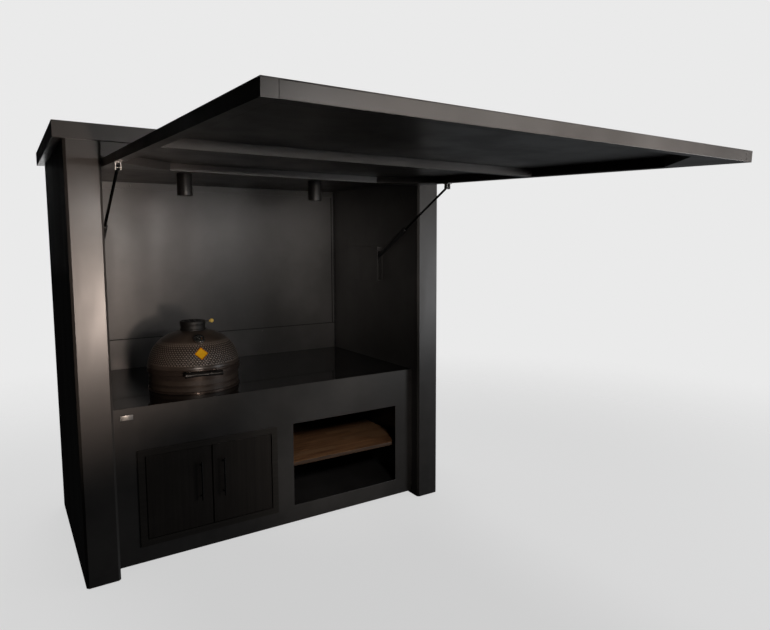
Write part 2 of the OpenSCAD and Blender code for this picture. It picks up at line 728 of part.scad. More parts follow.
module lid_shell() {
    n = 24;
    out = dome(lid_r, lid_h, n);
    in = dome(lid_r - ceramic, lid_h - ceramic, n);
    color([0.45, 0.4, 0.36]) at_lid() difference() {
        rotate_extrude() polygon(concat(out, [for (i = [n:-1:0]) in[i]]));
        translate([0, 0, lid_h / 2]) cylinder(r = vent_r - 20, h = lid_h);
        lid_spot(thermometer_h) cylinder(r = 5, h = 160, center = true);
    }
}
module lid_band() {
    color("silver") at_lid() difference() {
        cylinder(r = lid_r + band_t, h = band_h);
        translate([0, 0, -1]) cylinder(r = lid_r + 0.2, h = band_h + 2);
    }
}
module lid_hinge() {
    y = hinge_y - kamado_y;
    color("silver") at_lid() difference() {
        union() {
            translate([-38, lid_r + band_t - 2, 4]) cube([76, y - lid_r - band_t + 6, 20]);
            translate([-39, y, -seam_gap]) rotate([0, 90, 0]) cylinder(r = 12, h = 78);
        }
        translate([0, 0, -30]) cylinder(r = lid_r + band_t + hair, h = 90);
        translate([-50, y, -seam_gap]) rotate([0, 90, 0]) cylinder(r = 6 + run_gap, h = 100);
    }
}
module lid_handle() {
    r = lid_handle_r;
    y = -lid_r - 42;
    color("black") at_lid() translate([-lid_handle_l / 2, y, band_h / 2]) rotate([0, 90, 0])
        cylinder(r = r, h = lid_handle_l);
    color("silver") at_lid() difference() {
        for (x = [-80, 68]) translate([x, y, band_h / 2 - 9]) cube([12, 70, 18]);
        translate([0, 0, -1]) cylinder(r = lid_r + band_t + hair, h = band_h + 2);
        translate([-lid_handle_l / 2 - 1, y, band_h / 2]) rotate([0, 90, 0])
            cylinder(r = r, h = lid_handle_l + 2);
    }
}
module thermometer() {
    color("silver") on_lid(thermometer_h) {
        difference() {
            translate([0, 0, 4]) cylinder(r = dial_r, h = 16);
            translate([0, 0, 16]) cylinder(r = dial_r - 4, h = 6);
        }
        translate([0, 0, -60]) cylinder(r = 3.5, h = 64);
    }
    color("white") on_lid(thermometer_h) translate([0, 0, 16]) cylinder(r = dial_r - 4.2, h = 2.5);
}
module badge() {
    lift = 1.5;
    color("gold") on_lid(badge_h) translate([0, 0, lift]) rotate([0, 0, 45])
        translate([-badge_w / 2, -badge_w / 2, 0]) cube([badge_w, badge_w, 3]);
    color("gold") on_lid(badge_h) cylinder(r = 10, h = lift + hair);
}
module vent_base() {
    r = vent_r;
    color("dimgray") at_lid() rotate_extrude() polygon([[r - 28, lid_h - 40], [r - 20.2, lid_h - 40],
        [r - 20.2, lid_height(r - 20) + 0.3], [r - 10, lid_height(r - 10) + 0.3], [r, lid_height(r) + 0.3],
        [r, lid_h + vent_h - 24], [r - 8, lid_h + vent_h - 24], [r - 8, lid_h + 6], [r - 28, lid_h + 2]]);
    color("dimgray") at_lid() for (a = [0, 90]) rotate([0, 0, a]) translate([-r + 7, -4, lid_h + vent_h - 40])
        cube([2 * r - 14, 8, 10]);
    color("dimgray") at_lid() translate([0, 0, lid_h + vent_h - 40]) cylinder(r = 4, h = 30);
}
module vent_cap() {
    r = vent_r;
    z = lid_h + vent_h - 24 + part_gap;
    color("dimgray") at_lid() difference() {
        translate([0, 0, z]) cylinder(r = r, h = 18);
        translate([0, 0, z - 1]) cylinder(r = r - 6, h = 13);
        translate([0, 0, z - 1]) cylinder(r = 4 + run_gap, h = 30);
        for (a = [0:60:300]) rotate([0, 0, a]) translate([r * 0.55, 0, z]) cylinder(r = 12, h = 30);
    }
    color("silver") at_lid() translate([r - 2, 0, z + 11]) rotate([0, 90, 0]) cylinder(r = 4, h = 30);
    color("gold") at_lid() translate([r + 28 + ball_r * 0.8, 0, z + 11]) sphere(r = ball_r);
}

pillar_left();
pillar_right();
lining_left();
lining_right();
foot_pads();
roof_cap();
roof_underplate();
header();
ceiling_panel();
back_panel_upper();
back_upstand();
back_panel_lower();
back_trim();
base_front();
base_floor();
divider();
worktop();
name_plate();
door_surround();
door_pivots();
niche_shelf();
shelf_rests();
spot_housings();
spot_lenses();
canopy_shafts();
strut_faces();
strut_rims();
strut_studs();
door_left();
door_right();
handle_left();
handle_right();
side_rails();
cross_rails();
corner_gussets();
canopy_skin();
pivot_blocks();
bracket_left();
bracket_right();
rod_left();
rod_right();
cylinder_left();
cylinder_right();
kamado_stand();
worktop_ring();
kamado_shell();
lower_band();
fire_box();
fire_plate();
grates();
draft_frame();
draft_door();
lid_shell();
lid_band();
lid_hinge();
lid_handle();
thermometer();
badge();
vent_base();
vent_cap();
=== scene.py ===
"""Outdoor barbecue cabinet: finish pieces, materials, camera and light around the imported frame."""
import bmesh
import bpy
import json
import math
import numpy as np
from mathutils import Matrix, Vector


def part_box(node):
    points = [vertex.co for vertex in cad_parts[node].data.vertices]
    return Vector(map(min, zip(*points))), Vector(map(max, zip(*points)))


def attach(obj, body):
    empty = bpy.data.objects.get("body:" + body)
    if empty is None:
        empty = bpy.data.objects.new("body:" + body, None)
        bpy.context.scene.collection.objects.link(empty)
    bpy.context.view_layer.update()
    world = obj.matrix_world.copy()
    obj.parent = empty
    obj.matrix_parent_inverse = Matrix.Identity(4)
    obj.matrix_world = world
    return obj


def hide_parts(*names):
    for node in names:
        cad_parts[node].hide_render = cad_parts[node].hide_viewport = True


bl_info = {
    "name": "Outdoor Barbecue Cabinet",
    "version": (1, 0, 0),
    "blender": (4, 5, 0),
    "location": "View3D > Sidebar > Barbecue",
    "description": "Detailed pieces and finishes for a roofed barbecue cabinet with a kamado",
    "category": "Object",
}

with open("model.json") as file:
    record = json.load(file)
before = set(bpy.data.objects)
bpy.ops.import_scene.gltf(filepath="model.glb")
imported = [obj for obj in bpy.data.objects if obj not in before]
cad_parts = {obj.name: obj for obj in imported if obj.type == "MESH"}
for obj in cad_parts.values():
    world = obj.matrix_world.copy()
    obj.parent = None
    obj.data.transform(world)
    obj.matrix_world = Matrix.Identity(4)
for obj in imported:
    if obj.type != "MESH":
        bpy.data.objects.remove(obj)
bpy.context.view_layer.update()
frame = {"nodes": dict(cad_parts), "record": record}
NODES = frame["nodes"]


def box(node):
    """Lowest and highest corners of a frame node, as arrays."""
    low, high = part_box(node)
    return np.array(low, float), np.array(high, float)


def middle(node):
    """Centre of a frame node's box."""
    low, high = box(node)
    return (low + high) / 2


# Driving places, all read from the frame --------------------------------------------------

FRONT_Y = box("pillar_left")[0][1]
LID_LOW, LID_HIGH = box("lid_shell")
KAMADO = np.array([(LID_LOW[0] + LID_HIGH[0]) / 2, (LID_LOW[1] + LID_HIGH[1]) / 2, 0.0])
LID_R = (LID_HIGH[0] - LID_LOW[0]) / 2
SEAM_Z = LID_LOW[2]
VENT_LOW, VENT_HIGH = box("vent_base")
VENT_R = (VENT_HIGH[0] - VENT_LOW[0]) / 2
HINGE = next(j for j in frame["record"]["behaviour"]["joints"] if j["name"] == "lid_open")["axis"]
KAMADO_TURN = np.array(Matrix.Rotation(math.atan2(-HINGE[1], -HINGE[0]), 3, "Z"))
ABOUT_KAMADO = (KAMADO_TURN, KAMADO - KAMADO_TURN @ KAMADO)
AROUND_LID = 192


class CabinetSettings(bpy.types.PropertyGroup):
    """Sizes of the sheet-metal and wooden pieces"""
    shelf_edge: bpy.props.FloatProperty(
        name="Shelf edge radius", description="Rounding of the wooden shelf's edges",
        default=0.003, unit="LENGTH")
    spot_edge: bpy.props.FloatProperty(
        name="Spotlight edge radius", description="Rounding of the spotlight tubes' rims",
        default=0.002, unit="LENGTH")
    handle_edge: bpy.props.FloatProperty(
        name="Handle edge radius", description="Rounding of the bar handles' ends",
        default=0.0015, unit="LENGTH")
    screw_radius: bpy.props.FloatProperty(
        name="Screw radius", description="Radius of a visible button-head screw",
        default=0.006, unit="LENGTH")


class KamadoSettings(bpy.types.PropertyGroup):
    """Sizes of the kamado's glazed shell"""
    lid_power: bpy.props.FloatProperty(
        name="Lid fullness", description="Exponent of the lid's rounded outline", default=2.3)
    lid_height: bpy.props.FloatProperty(
        name="Lid height", description="Height of the lid's outline over its rim",
        default=0.240, unit="LENGTH")
    wall: bpy.props.FloatProperty(
        name="Wall", description="Thickness of the ceramic wall", default=0.020, unit="LENGTH")
    scales_around: bpy.props.IntProperty(
        name="Scales around", description="Number of scales in one ring of the belt", default=92)
    scale_rows: bpy.props.IntProperty(
        name="Scale rows", description="Number of staggered rows in the belt", default=13)
    scale_depth: bpy.props.FloatProperty(
        name="Scale relief", description="Height of a scale over its groove", default=0.0042, unit="LENGTH")
    belt_low: bpy.props.FloatProperty(
        name="Belt bottom", description="Lower edge of the scaled belt above the rim",
        default=0.050, unit="LENGTH")
    belt_high: bpy.props.FloatProperty(
        name="Belt top", description="Upper edge of the scaled belt above the rim",
        default=0.187, unit="LENGTH")
    grip_radius: bpy.props.FloatProperty(
        name="Grip radius", description="Radius of the lid handle's grip", default=0.015, unit="LENGTH")
    grip_length: bpy.props.FloatProperty(
        name="Grip length", description="Length of the lid handle's grip", default=0.215, unit="LENGTH")
    grip_reach: bpy.props.FloatProperty(
        name="Grip reach", description="Distance of the grip's axis from the lid's side",
        default=0.042, unit="LENGTH")
    ball_radius: bpy.props.FloatProperty(
        name="Knob radius", description="Radius of the vent's ball knob", default=0.013, unit="LENGTH")
    ball_reach: bpy.props.FloatProperty(
        name="Knob reach", description="Distance of the ball knob's centre from the vent's side",
        default=0.0384, unit="LENGTH")


class StageSettings(bpy.types.PropertyGroup):
    """Camera, floor and light"""
    lens: bpy.props.FloatProperty(
        name="Lens", description="Focal length of the camera", default=28.22, unit="CAMERA")
    sensor: bpy.props.FloatProperty(
        name="Sensor", description="Width of the camera's sensor in millimetres", default=36.0)
    lens_shift: bpy.props.FloatProperty(
        name="Lens shift", description="Vertical lens shift as a share of the picture's width",
        default=-0.01522078)
    camera_place: bpy.props.FloatVectorProperty(
        name="Camera place", description="Camera position from the pillar fronts' middle on the floor",
        default=(-1.4186, -3.2954, 1.7619), subtype="TRANSLATION")
    camera_turn: bpy.props.FloatVectorProperty(
        name="Camera turn", description="Yaw, pitch and roll of the camera in degrees",
        default=(32.667, -5.605, -0.231))
    backdrop: bpy.props.FloatVectorProperty(
        name="Backdrop", description="Colour of the backdrop", default=(0.823, 0.823, 0.823), subtype="COLOR")


SETTINGS = {"cabinet_settings": CabinetSettings, "kamado_settings": KamadoSettings,
            "stage_settings": StageSettings}


# Shader maths -----------------------------------------------------------------------------

class Value:
    """A number socket whose arithmetic adds Math nodes."""

    def __init__(self, recipe, socket):
        self.recipe = recipe
        self.socket = socket

    def math(self, operation, *others):
        values = {i: o for i, o in enumerate((self,) + others)}
        return self.recipe.node("ShaderNodeMath", {"operation": operation}, values)[0]

    def __add__(self, o): return self.math("ADD", o)
    def __sub__(self, o): return self.math("SUBTRACT", o)
    def __mul__(self, o): return self.math("MULTIPLY", o)
    def __truediv__(self, o): return self.math("DIVIDE", o)
    def __pow__(self, o): return self.math("POWER", o)
    def __radd__(self, o): return self.math("ADD", o)
    def __rmul__(self, o): return self.math("MULTIPLY", o)
    def __rsub__(self, o): return self.recipe.number(o).math("SUBTRACT", self)

    def clamp(self, low=0.0, high=1.0):
        return self.math("MAXIMUM", low).math("MINIMUM", high)

    def step(self, low, high):
        """Rises smoothly from 0 at low to 1 at high."""
        settings = {"interpolation_type": "SMOOTHSTEP"}
        return self.recipe.node("ShaderNodeMapRange", settings, {0: self, 1: low, 2: high, 3: 0.0, 4: 1.0})[0]


class Recipe:
    """One material: its node tree and its shader."""

    def __init__(self, name, rough=0.5, metal=0.0, colour=(0.5, 0.5, 0.5), **constant):
        self.material = bpy.data.materials.new(name)
        self.material.use_nodes = True
        self.tree = self.material.node_tree
        self.shader = self.tree.nodes["Principled BSDF"]
        self.put("Base Color", (*colour, 1.0))
        self.put("Roughness", rough)
        self.put("Metallic", metal)
        for key, value in constant.items():
            self.put(key.replace("_", " "), value)
        coord = self.tree.nodes.new("ShaderNodeTexCoord")
        self.place = coord.outputs["Object"]

    def node(self, kind, settings=None, values=None):
        """Adds a node: its settings first, then the values or links of its sockets."""
        made = self.tree.nodes.new(kind)
        for key, value in (settings or {}).items():
            if key == "stops":
                self.stops(made.color_ramp, value)
            else:
                setattr(made, key, value)
        for key, value in (values or {}).items():
            self.link(made.inputs[key], value)
        return [Value(self, s) for s in made.outputs]

    @staticmethod
    def stops(ramp, stops):
        while len(ramp.elements) < len(stops):
            ramp.elements.new(0.5)
        for element, (at, colour) in zip(ramp.elements, stops):
            element.position = at
            element.color = (*colour, 1.0)

    def link(self, socket, value):
        if isinstance(value, Value):
            value = value.socket
        if isinstance(value, bpy.types.NodeSocket):
            self.tree.links.new(value, socket)
        elif isinstance(value, (tuple, list)) and len(value) == 3 and len(socket.default_value) == 4:
            socket.default_value = (*value, 1.0)
        else:
            socket.default_value = value

    def put(self, name, value):
        self.link(self.shader.inputs[name], value)

    def number(self, value):
        return self.node("ShaderNodeMath", {"operation": "ADD"}, {0: value, 1: 0.0})[0]

    def at(self, scale=(1, 1, 1), turn=(0, 0, 0)):
        """Object coordinates, scaled and then turned."""
        return self.node("ShaderNodeMapping", {"vector_type": "POINT"},
                         {"Vector": self.place, "Scale": scale, "Rotation": turn})[0]

    def axes(self, vector=None):
        return self.node("ShaderNodeSeparateXYZ", None, {0: vector or self.place})

    def noise(self, scale, detail=3.0, rough=0.55, vector=None, distortion=0.0):
        values = {"Vector": vector or self.place, "Scale": scale, "Detail": detail,
                  "Roughness": rough, "Distortion": distortion}
        return self.node("ShaderNodeTexNoise", {"noise_dimensions": "3D"}, values)[0]

    def cells(self, scale, feature="F1", vector=None, spread=1.0):
        values = {"Vector": vector or self.place, "Scale": scale, "Randomness": spread}
        return self.node("ShaderNodeTexVoronoi", {"feature": feature}, values)[0]

    def blend(self, factor, first, second, mode="MIX"):
        made = self.tree.nodes.new("ShaderNodeMix")
        made.data_type = "RGBA"
        made.blend_type = mode
        for socket, value in ((made.inputs[0], factor), (made.inputs[6], first), (made.inputs[7], second)):
            self.link(socket, value)
        return Value(self, made.outputs[2])

    def relief(self, height, distance, strength=1.0):
        """Feeds a height in the range 0 to 1 through a Bump node to Normal."""
        values = {"Height": height, "Distance": distance, "Strength": strength}
        bump = self.node("ShaderNodeBump", None, values)
        self.put("Normal", bump[0])


def shade(material, *names):
    """Gives frame nodes or new pieces a material."""
    for name in names:
        obj = NODES.get(name) or bpy.data.objects[name]
        if obj.data.materials:
            obj.data.materials[0] = material
        else:
            obj.data.materials.append(material)


# Finishes ---------------------------------------------------------------------------------

def powder_coat(name, colour, rough=0.38, fleck=1.35, dust=0.5):
    """Powder-coated sheet: orange-peel relief, faint cloudiness, wiped streaks and dust near the ground."""
    m = Recipe(name, rough=rough, Specular_IOR_Level=0.5)
    dark = tuple(c * 0.80 for c in colour)
    light = tuple(min(1.0, c * fleck) for c in colour)
    cloud = m.noise(1.7, 4.0, 0.6)
    streak = m.noise(5.0, 3.0, 0.6, m.at(scale=(1.0, 1.0, 0.16)))
    fine = m.noise(620.0, 2.0, 0.6)
    base = m.blend(cloud.step(0.32, 0.70), dark, light)
    base = m.blend((fine.step(0.60, 0.78)) * 0.18, base, tuple(min(1.0, c * 2.4) for c in colour))
    height = m.axes()[2]
    grime = (1.0 - height.step(0.02, 0.34)) * m.noise(24.0, 5.0, 0.7).step(0.42, 0.72) * dust
    base = m.blend(grime * 0.45, base, (0.085, 0.078, 0.070))
    m.put("Base Color", base)
    gloss = rough - 0.07 + streak.step(0.35, 0.7) * 0.10
    m.put("Roughness", (gloss + cloud * 0.06 + grime * 0.3).clamp(0.1, 0.9))
    m.relief(m.noise(240.0, 2.0, 0.5) * 0.7 + fine * 0.3, 0.00022, 0.55)
    return m.material


def brushed(name, colour, rough, along="Z", metal=0.0, grain=0.5, amount=0.2):
    """Sheet with fine parallel brush lines along one axis and soft hand marks."""
    stretch = {"X": (0.012, 1.0, 1.0), "Y": (1.0, 0.012, 1.0), "Z": (1.0, 1.0, 0.012)}[along]
    m = Recipe(name, rough=rough, metal=metal)
    lines = m.noise(900.0, 3.0, 0.7, m.at(scale=stretch))
    broad = m.noise(60.0, 2.0, 0.5, m.at(scale=stretch))
    smudge = m.noise(7.0, 4.0, 0.6)
    tone = (lines * 0.6 + broad * 0.4).step(0.25, 0.75)
    dark = tuple(c * (1 - amount) for c in colour)
    light = tuple(min(1.0, c * (1 + amount)) for c in colour)
    m.put("Base Color", m.blend(tone, dark, light))
    m.put("Roughness", (rough - 0.06 + lines * 0.10 + smudge.step(0.45, 0.75) * 0.12).clamp(0.05, 0.95))
    m.relief(lines, 0.00012, grain)
    return m.material


def polished_stone():
    """Near-black polished granite: grey mica flecks, a few brown grains and faint wipe marks in the gloss."""
    m = Recipe("polished_stone", rough=0.07, Specular_IOR_Level=0.55)
    crystals = m.cells(260.0)
    fleck = m.cells(520.0).step(0.10, 0.02) * m.noise(95.0, 3.0, 0.7).step(0.52, 0.66)
    grain = m.noise(140.0, 4.0, 0.7)
    base = m.blend(grain.step(0.3, 0.7), (0.0035, 0.0036, 0.0040), (0.0095, 0.0095, 0.0105))
    base = m.blend(crystals.step(0.55, 0.85) * 0.35, base, (0.018, 0.016, 0.015))
    base = m.blend(fleck * 0.7, base, (0.11, 0.11, 0.12))
    m.put("Base Color", base)
    wiped = m.noise(9.0, 4.0, 0.65, m.at(scale=(0.5, 1.0, 1.0)))
    m.put("Roughness", (0.055 + wiped.step(0.42, 0.78) * 0.08 + fleck * 0.05).clamp(0.03, 0.4))
    m.relief(m.noise(30.0, 2.0, 0.5), 0.00008, 0.25)
    return m.material


def oiled_wood():
    """Glued hardwood staves along X: stave tones, growth bands, dark pores and glue joints."""
    m = Recipe("oiled_wood", rough=0.42)
    x, y, z = m.axes()
    stave = (y * (1 / 0.058)).math("FLOOR")
    joint = ((y * (1 / 0.058)).math("FRACT") - 0.5).math("ABSOLUTE").step(0.482, 0.497)
    block = ((x * (1 / 0.47)) + stave * 0.37).math("FLOOR")
    butt = (((x * (1 / 0.47)) + stave * 0.37).math("FRACT") - 0.5).math("ABSOLUTE").step(0.4965, 0.4990)
    offset = m.node("ShaderNodeCombineXYZ", None, {0: block * 3.1, 1: stave * 1.7, 2: z})[0]
    tone = m.node("ShaderNodeTexWhiteNoise", {"noise_dimensions": "3D"}, {"Vector": offset})[0]
    along = m.at(scale=(0.07, 1.0, 1.0))
    shifted = m.node("ShaderNodeVectorMath", {"operation": "ADD"}, {0: along, 1: offset})[0]
    rings = m.noise(46.0, 4.0, 0.62, shifted, 0.5)
    pores = m.noise(520.0, 2.0, 0.6, m.at(scale=(0.035, 1.0, 1.0))).step(0.58, 0.74)
    base = m.blend(rings.step(0.32, 0.70), (0.150, 0.068, 0.032), (0.370, 0.190, 0.090))
    base = m.blend(tone * 0.55, base, (0.190, 0.092, 0.042))
    base = m.blend((tone - 0.6).step(0.0, 0.3) * 0.45, base, (0.360, 0.210, 0.110))
    base = m.blend(pores * 0.55, base, (0.040, 0.018, 0.009))
    base = m.blend((joint + butt).clamp() * 0.75, base, (0.010, 0.005, 0.003))
    m.put("Base Color", base)
    m.put("Roughness", (0.36 + rings * 0.16 + pores * 0.2).clamp(0.2, 0.9))
    m.relief((rings * 0.5 + 0.5 - pores * 0.6 - joint * 0.5).clamp(), 0.0005, 0.7)
    return m.material


def wood_edge():
    """Sawn and lightly sanded front edge of the shelf, paler than its face."""
    m = Recipe("wood_edge", rough=0.5)
    grain = m.noise(60.0, 4.0, 0.65, m.at(scale=(0.08, 1.0, 1.0)), 0.4)
    pores = m.noise(480.0, 2.0, 0.6, m.at(scale=(0.05, 1.0, 1.0))).step(0.6, 0.76)
    base = m.blend(grain.step(0.3, 0.72), (0.045, 0.024, 0.013), (0.098, 0.056, 0.031))
    m.put("Base Color", m.blend(pores * 0.5, base, (0.06, 0.028, 0.014)))
    m.put("Roughness", (0.44 + grain * 0.18).clamp())
    m.relief((grain - pores * 0.4).clamp(), 0.0004, 0.6)
    return m.material


def glazed_taupe():
    """Kamado glaze: taupe brown with fine speckle; the raised scales get a painted highlight, the grooves painted
    shade.
    """
    m = Recipe("glazed_taupe", rough=0.40, Specular_IOR_Level=0.5, Coat_Roughness=0.22)
    m.shader.inputs["Coat Weight"].default_value = 0.25
    groove = m.node("ShaderNodeAttribute", {"attribute_name": "relief"}, None)[2]
    height = m.axes()[2]
    belt = height.step(SEAM_Z + 0.050, SEAM_Z + 0.058) * (1.0 - height.step(SEAM_Z + 0.165, SEAM_Z + 0.187))
    speck = m.noise(420.0, 3.0, 0.7)
    cloud = m.noise(9.0, 4.0, 0.6)
    base = m.blend(cloud.step(0.3, 0.7), (0.050, 0.037, 0.029), (0.078, 0.060, 0.048))
    base = m.blend(speck.step(0.58, 0.76) * 0.5, base, (0.15, 0.12, 0.10))
    # Lighter scale tips: painted highlight standing for the glints on the raised scales.
    painted_tip_highlight = groove.step(0.62, 0.97) * belt
    base = m.blend(painted_tip_highlight * 0.80, base, (0.250, 0.205, 0.172))
    # Near-black grooves between the scales: painted shade.
    base = m.blend((1.0 - groove).step(0.05, 0.60) * 0.95, base, (0.005, 0.0035, 0.0025))
    m.put("Base Color", base)
    gloss = 0.33 + cloud * 0.08 + (1.0 - groove) * 0.25
    m.put("Roughness", (gloss + speck * 0.05 - painted_tip_highlight * 0.12).clamp(0.1, 0.9))
    m.relief(m.noise(260.0, 3.0, 0.6), 0.00025, 0.6)
    return m.material


def glazed_taupe_plain():
    """The same taupe glaze without a pattern, for the bowl."""
    m = Recipe("glazed_plain", rough=0.40)
    speck = m.noise(420.0, 3.0, 0.7)
    cloud = m.noise(9.0, 4.0, 0.6)
    base = m.blend(cloud.step(0.3, 0.7), (0.050, 0.037, 0.029), (0.078, 0.060, 0.048))
    m.put("Base Color", m.blend(speck.step(0.58, 0.76) * 0.5, base, (0.15, 0.12, 0.10)))
    m.put("Roughness", (0.34 + cloud * 0.10 + speck * 0.05).clamp(0.1, 0.9))
    m.relief(m.noise(260.0, 3.0, 0.6), 0.00025, 0.6)
    return m.material


def fire_clay():
    """Bare refractory clay with soot from the fire and coarse sand grains."""
    m = Recipe("fire_clay", rough=0.9)
    soot = m.noise(11.0, 5.0, 0.65).step(0.35, 0.65)
    sand = m.noise(350.0, 3.0, 0.7)
    base = m.blend(soot, (0.34, 0.27, 0.20), (0.06, 0.052, 0.046))
    m.put("Base Color", m.blend(sand.step(0.6, 0.75) * 0.4, base, (0.45, 0.38, 0.30)))
    m.relief(sand, 0.0006, 0.8)
    return m.material


def cast_iron(name, colour):
    """Painted cast iron: pebbled skin with rubbed high spots."""
    m = Recipe(name, rough=0.48, metal=0.0)
    skin = m.noise(330.0, 4.0, 0.65)
    rub = m.noise(45.0, 3.0, 0.6).step(0.58, 0.75)
    m.put("Base Color", m.blend(rub * skin * 0.6, colour, tuple(min(1.0, c * 3) for c in colour)))
    m.put("Roughness", (0.52 - rub * 0.14 + skin * 0.08).clamp(0.1, 0.9))
    m.relief(skin, 0.0005, 0.7)
    return m.material


def bright_metal(name, colour, rough, grain=0.3):
    """Polished or plated metal with hair-fine scratches, water marks and a little haze."""
    m = Recipe(name, rough=rough, metal=1.0)
    scratch = m.noise(800.0, 3.0, 0.7, m.at(scale=(1.0, 0.1, 1.0), turn=(0.0, 0.0, 0.6)))
    haze = m.noise(40.0, 4.0, 0.6)
    m.put("Base Color", m.blend(haze.step(0.35, 0.75) * 0.35, colour, tuple(c * 0.72 for c in colour)))
    m.put("Roughness", (rough - 0.04 + haze * 0.10 + scratch * 0.06).clamp(0.04, 0.9))
    m.relief(scratch, 0.00008, grain)
    return m.material


def enamel():
    """Golden yellow enamel with orange edges, mottled slightly, under a clear gloss."""
    m = Recipe("golden_enamel", rough=0.22)
    m.shader.inputs["Coat Weight"].default_value = 0.5
    cloud = m.noise(60.0, 4.0, 0.6)
    fine = m.noise(700.0, 2.0, 0.6)
    rim = m.node("ShaderNodeAttribute", {"attribute_name": "relief"}, None)[2].step(0.76, 0.88)
    base = m.blend(cloud.step(0.3, 0.7), (0.92, 0.47, 0.010), (0.96, 0.56, 0.020))
    base = m.blend(fine.step(0.6, 0.8) * 0.25, base, (0.80, 0.34, 0.01))
    m.put("Base Color", m.blend(rim * 0.9, base, (0.62, 0.19, 0.006)))
    m.put("Roughness", (0.20 + cloud * 0.1).clamp())
    m.relief(fine, 0.0001, 0.4)
    return m.material


def yellow_knob():
    """Warm yellow lacquered ball with small rubbed marks."""
    m = Recipe("knob_yellow", rough=0.25)
    m.shader.inputs["Coat Weight"].default_value = 0.6
    cloud = m.noise(80.0, 4.0, 0.6)
    rub = m.noise(240.0, 3.0, 0.65).step(0.62, 0.76)
    base = m.blend(cloud.step(0.3, 0.7), (1.0, 0.66, 0.12), (1.0, 0.76, 0.20))
    m.put("Base Color", m.blend(rub * 0.4, base, (0.50, 0.30, 0.05)))
    m.put("Roughness", (0.20 + rub * 0.2 + cloud * 0.06).clamp())
    m.relief(rub, 0.0001, 0.4)
    return m.material


def rubber():
    """Moulded rubber with a fine matte grain and dust in its texture."""
    m = Recipe("pad_rubber", rough=0.85)
    grain = m.noise(700.0, 2.0, 0.6)
    dust = m.noise(50.0, 4.0, 0.6).step(0.5, 0.8)
    m.put("Base Color", m.blend(dust * 0.4, (0.012, 0.012, 0.012), (0.07, 0.065, 0.06)))
    m.relief(grain, 0.0003, 0.6)
    return m.material


def frosted_lens():
    """Frosted glass lens of a spotlight, with a fine prismatic grain."""
    m = Recipe("frosted_lens", rough=0.35, Transmission_Weight=0.35, IOR=1.48)
    grain = m.cells(900.0)
    m.put("Base Color", m.blend(grain.step(0.2, 0.8), (0.70, 0.69, 0.66), (0.86, 0.85, 0.82)))
    m.relief(grain, 0.0002, 0.5)
    return m.material


def dial_card():
    """Dark dial: short pale graduations, long ones at every fifth and an orange arc, on its own UV map."""
    m = Recipe("dial_card", rough=0.45)
    uv = m.node("ShaderNodeUVMap", {"uv_map": "dial"}, None)[0]
    u, v, _ = m.axes(uv)
    far = (u * u + v * v).math("SQRT")
    angle = v.math("ARCTAN2", u) * (1 / (2 * math.pi))
    fine = ((angle * 60.0).math("FRACT") - 0.5).math("ABSOLUTE").step(0.36, 0.44)
    bold = ((angle * 12.0).math("FRACT") - 0.5).math("ABSOLUTE").step(0.455, 0.475)
    ring = far.step(0.76, 0.78) * (1.0 - far.step(0.88, 0.90))
    inner = far.step(0.66, 0.68) * (1.0 - far.step(0.88, 0.90))
    ink = (fine * ring + bold * inner).clamp()
    warm = far.step(0.50, 0.52) * (1.0 - far.step(0.58, 0.60))
    warm = warm * angle.step(-0.12, -0.10) * (1.0 - angle.step(0.1, 0.12))
    base = m.blend(ink, (0.030, 0.028, 0.027), (0.50, 0.49, 0.46))
    m.put("Base Color", m.blend(warm.clamp() * 0.8, base, (0.55, 0.20, 0.05)))
    m.relief(m.noise(900.0, 2.0, 0.5), 0.00005, 0.3)
    return m.material


def clear_glass():
    """Thin clear glass with faint dust."""
    m = Recipe("clear_glass", rough=0.03, Transmission_Weight=1.0, IOR=1.05)
    m.put("Roughness", (0.02 + m.noise(60.0, 4.0, 0.6).step(0.55, 0.8) * 0.12).clamp())
    m.put("Base Color", (0.95, 0.96, 0.96))
    return m.material


# Surfaces ---------------------------------------------------------------------------------

def make_object(name, body, replaces=()):
    """Registers an empty mesh object as a piece of a body."""
    obj = bpy.data.objects.new(name, bpy.data.meshes.new(name))
    bpy.context.scene.collection.objects.link(obj)
    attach(obj, body)
    if replaces:
        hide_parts(*replaces)
    return obj


def fill(obj, sheets, relief=None, place=None):
    """Puts grids of points, each with its own closed flags, into one mesh.

    A sheet is (points[u, v, 3], closed_u, closed_v); its quads join neighbours, and wrap where it is closed.
    A place is a matrix and an origin that every sheet is moved by.
    """
    if place:
        sheets = [turned(sheet, *place) for sheet in sheets]
    vertices, faces, start = [], [], 0
    for points, closed_u, closed_v in sheets:
        nu, nv = points.shape[:2]
        iu = np.arange(nu if closed_u else nu - 1)
        iv = np.arange(nv if closed_v else nv - 1)
        a, b = np.meshgrid(iu, iv, indexing="ij")
        a, b = a.ravel(), b.ravel()
        a1, b1 = (a + 1) % nu, (b + 1) % nv
        quad = np.stack([a * nv + b, a1 * nv + b, a1 * nv + b1, a * nv + b1], 1) + start
        vertices.append(points.reshape(-1, 3))
        faces.append(quad)
        start += nu * nv
    vertices, faces = np.concatenate(vertices), np.concatenate(faces)
    mesh = obj.data
    mesh.vertices.add(len(vertices))
    mesh.vertices.foreach_set("co", vertices.astype(np.float32).ravel())
    mesh.loops.add(faces.size)
    mesh.loops.foreach_set("vertex_index", faces.astype(np.int32).ravel())
    mesh.polygons.add(len(faces))
    mesh.polygons.foreach_set("loop_start", np.arange(0, faces.size, 4, dtype=np.int32))
    mesh.update(calc_edges=True)
    mesh.polygons.foreach_set("use_smooth", np.ones(len(faces), bool))
    if relief is not None:
        layer = mesh.attributes.new("relief", "FLOAT", "POINT")
        layer.data.foreach_set("value", relief.astype(np.float32).ravel())
    merge(obj)


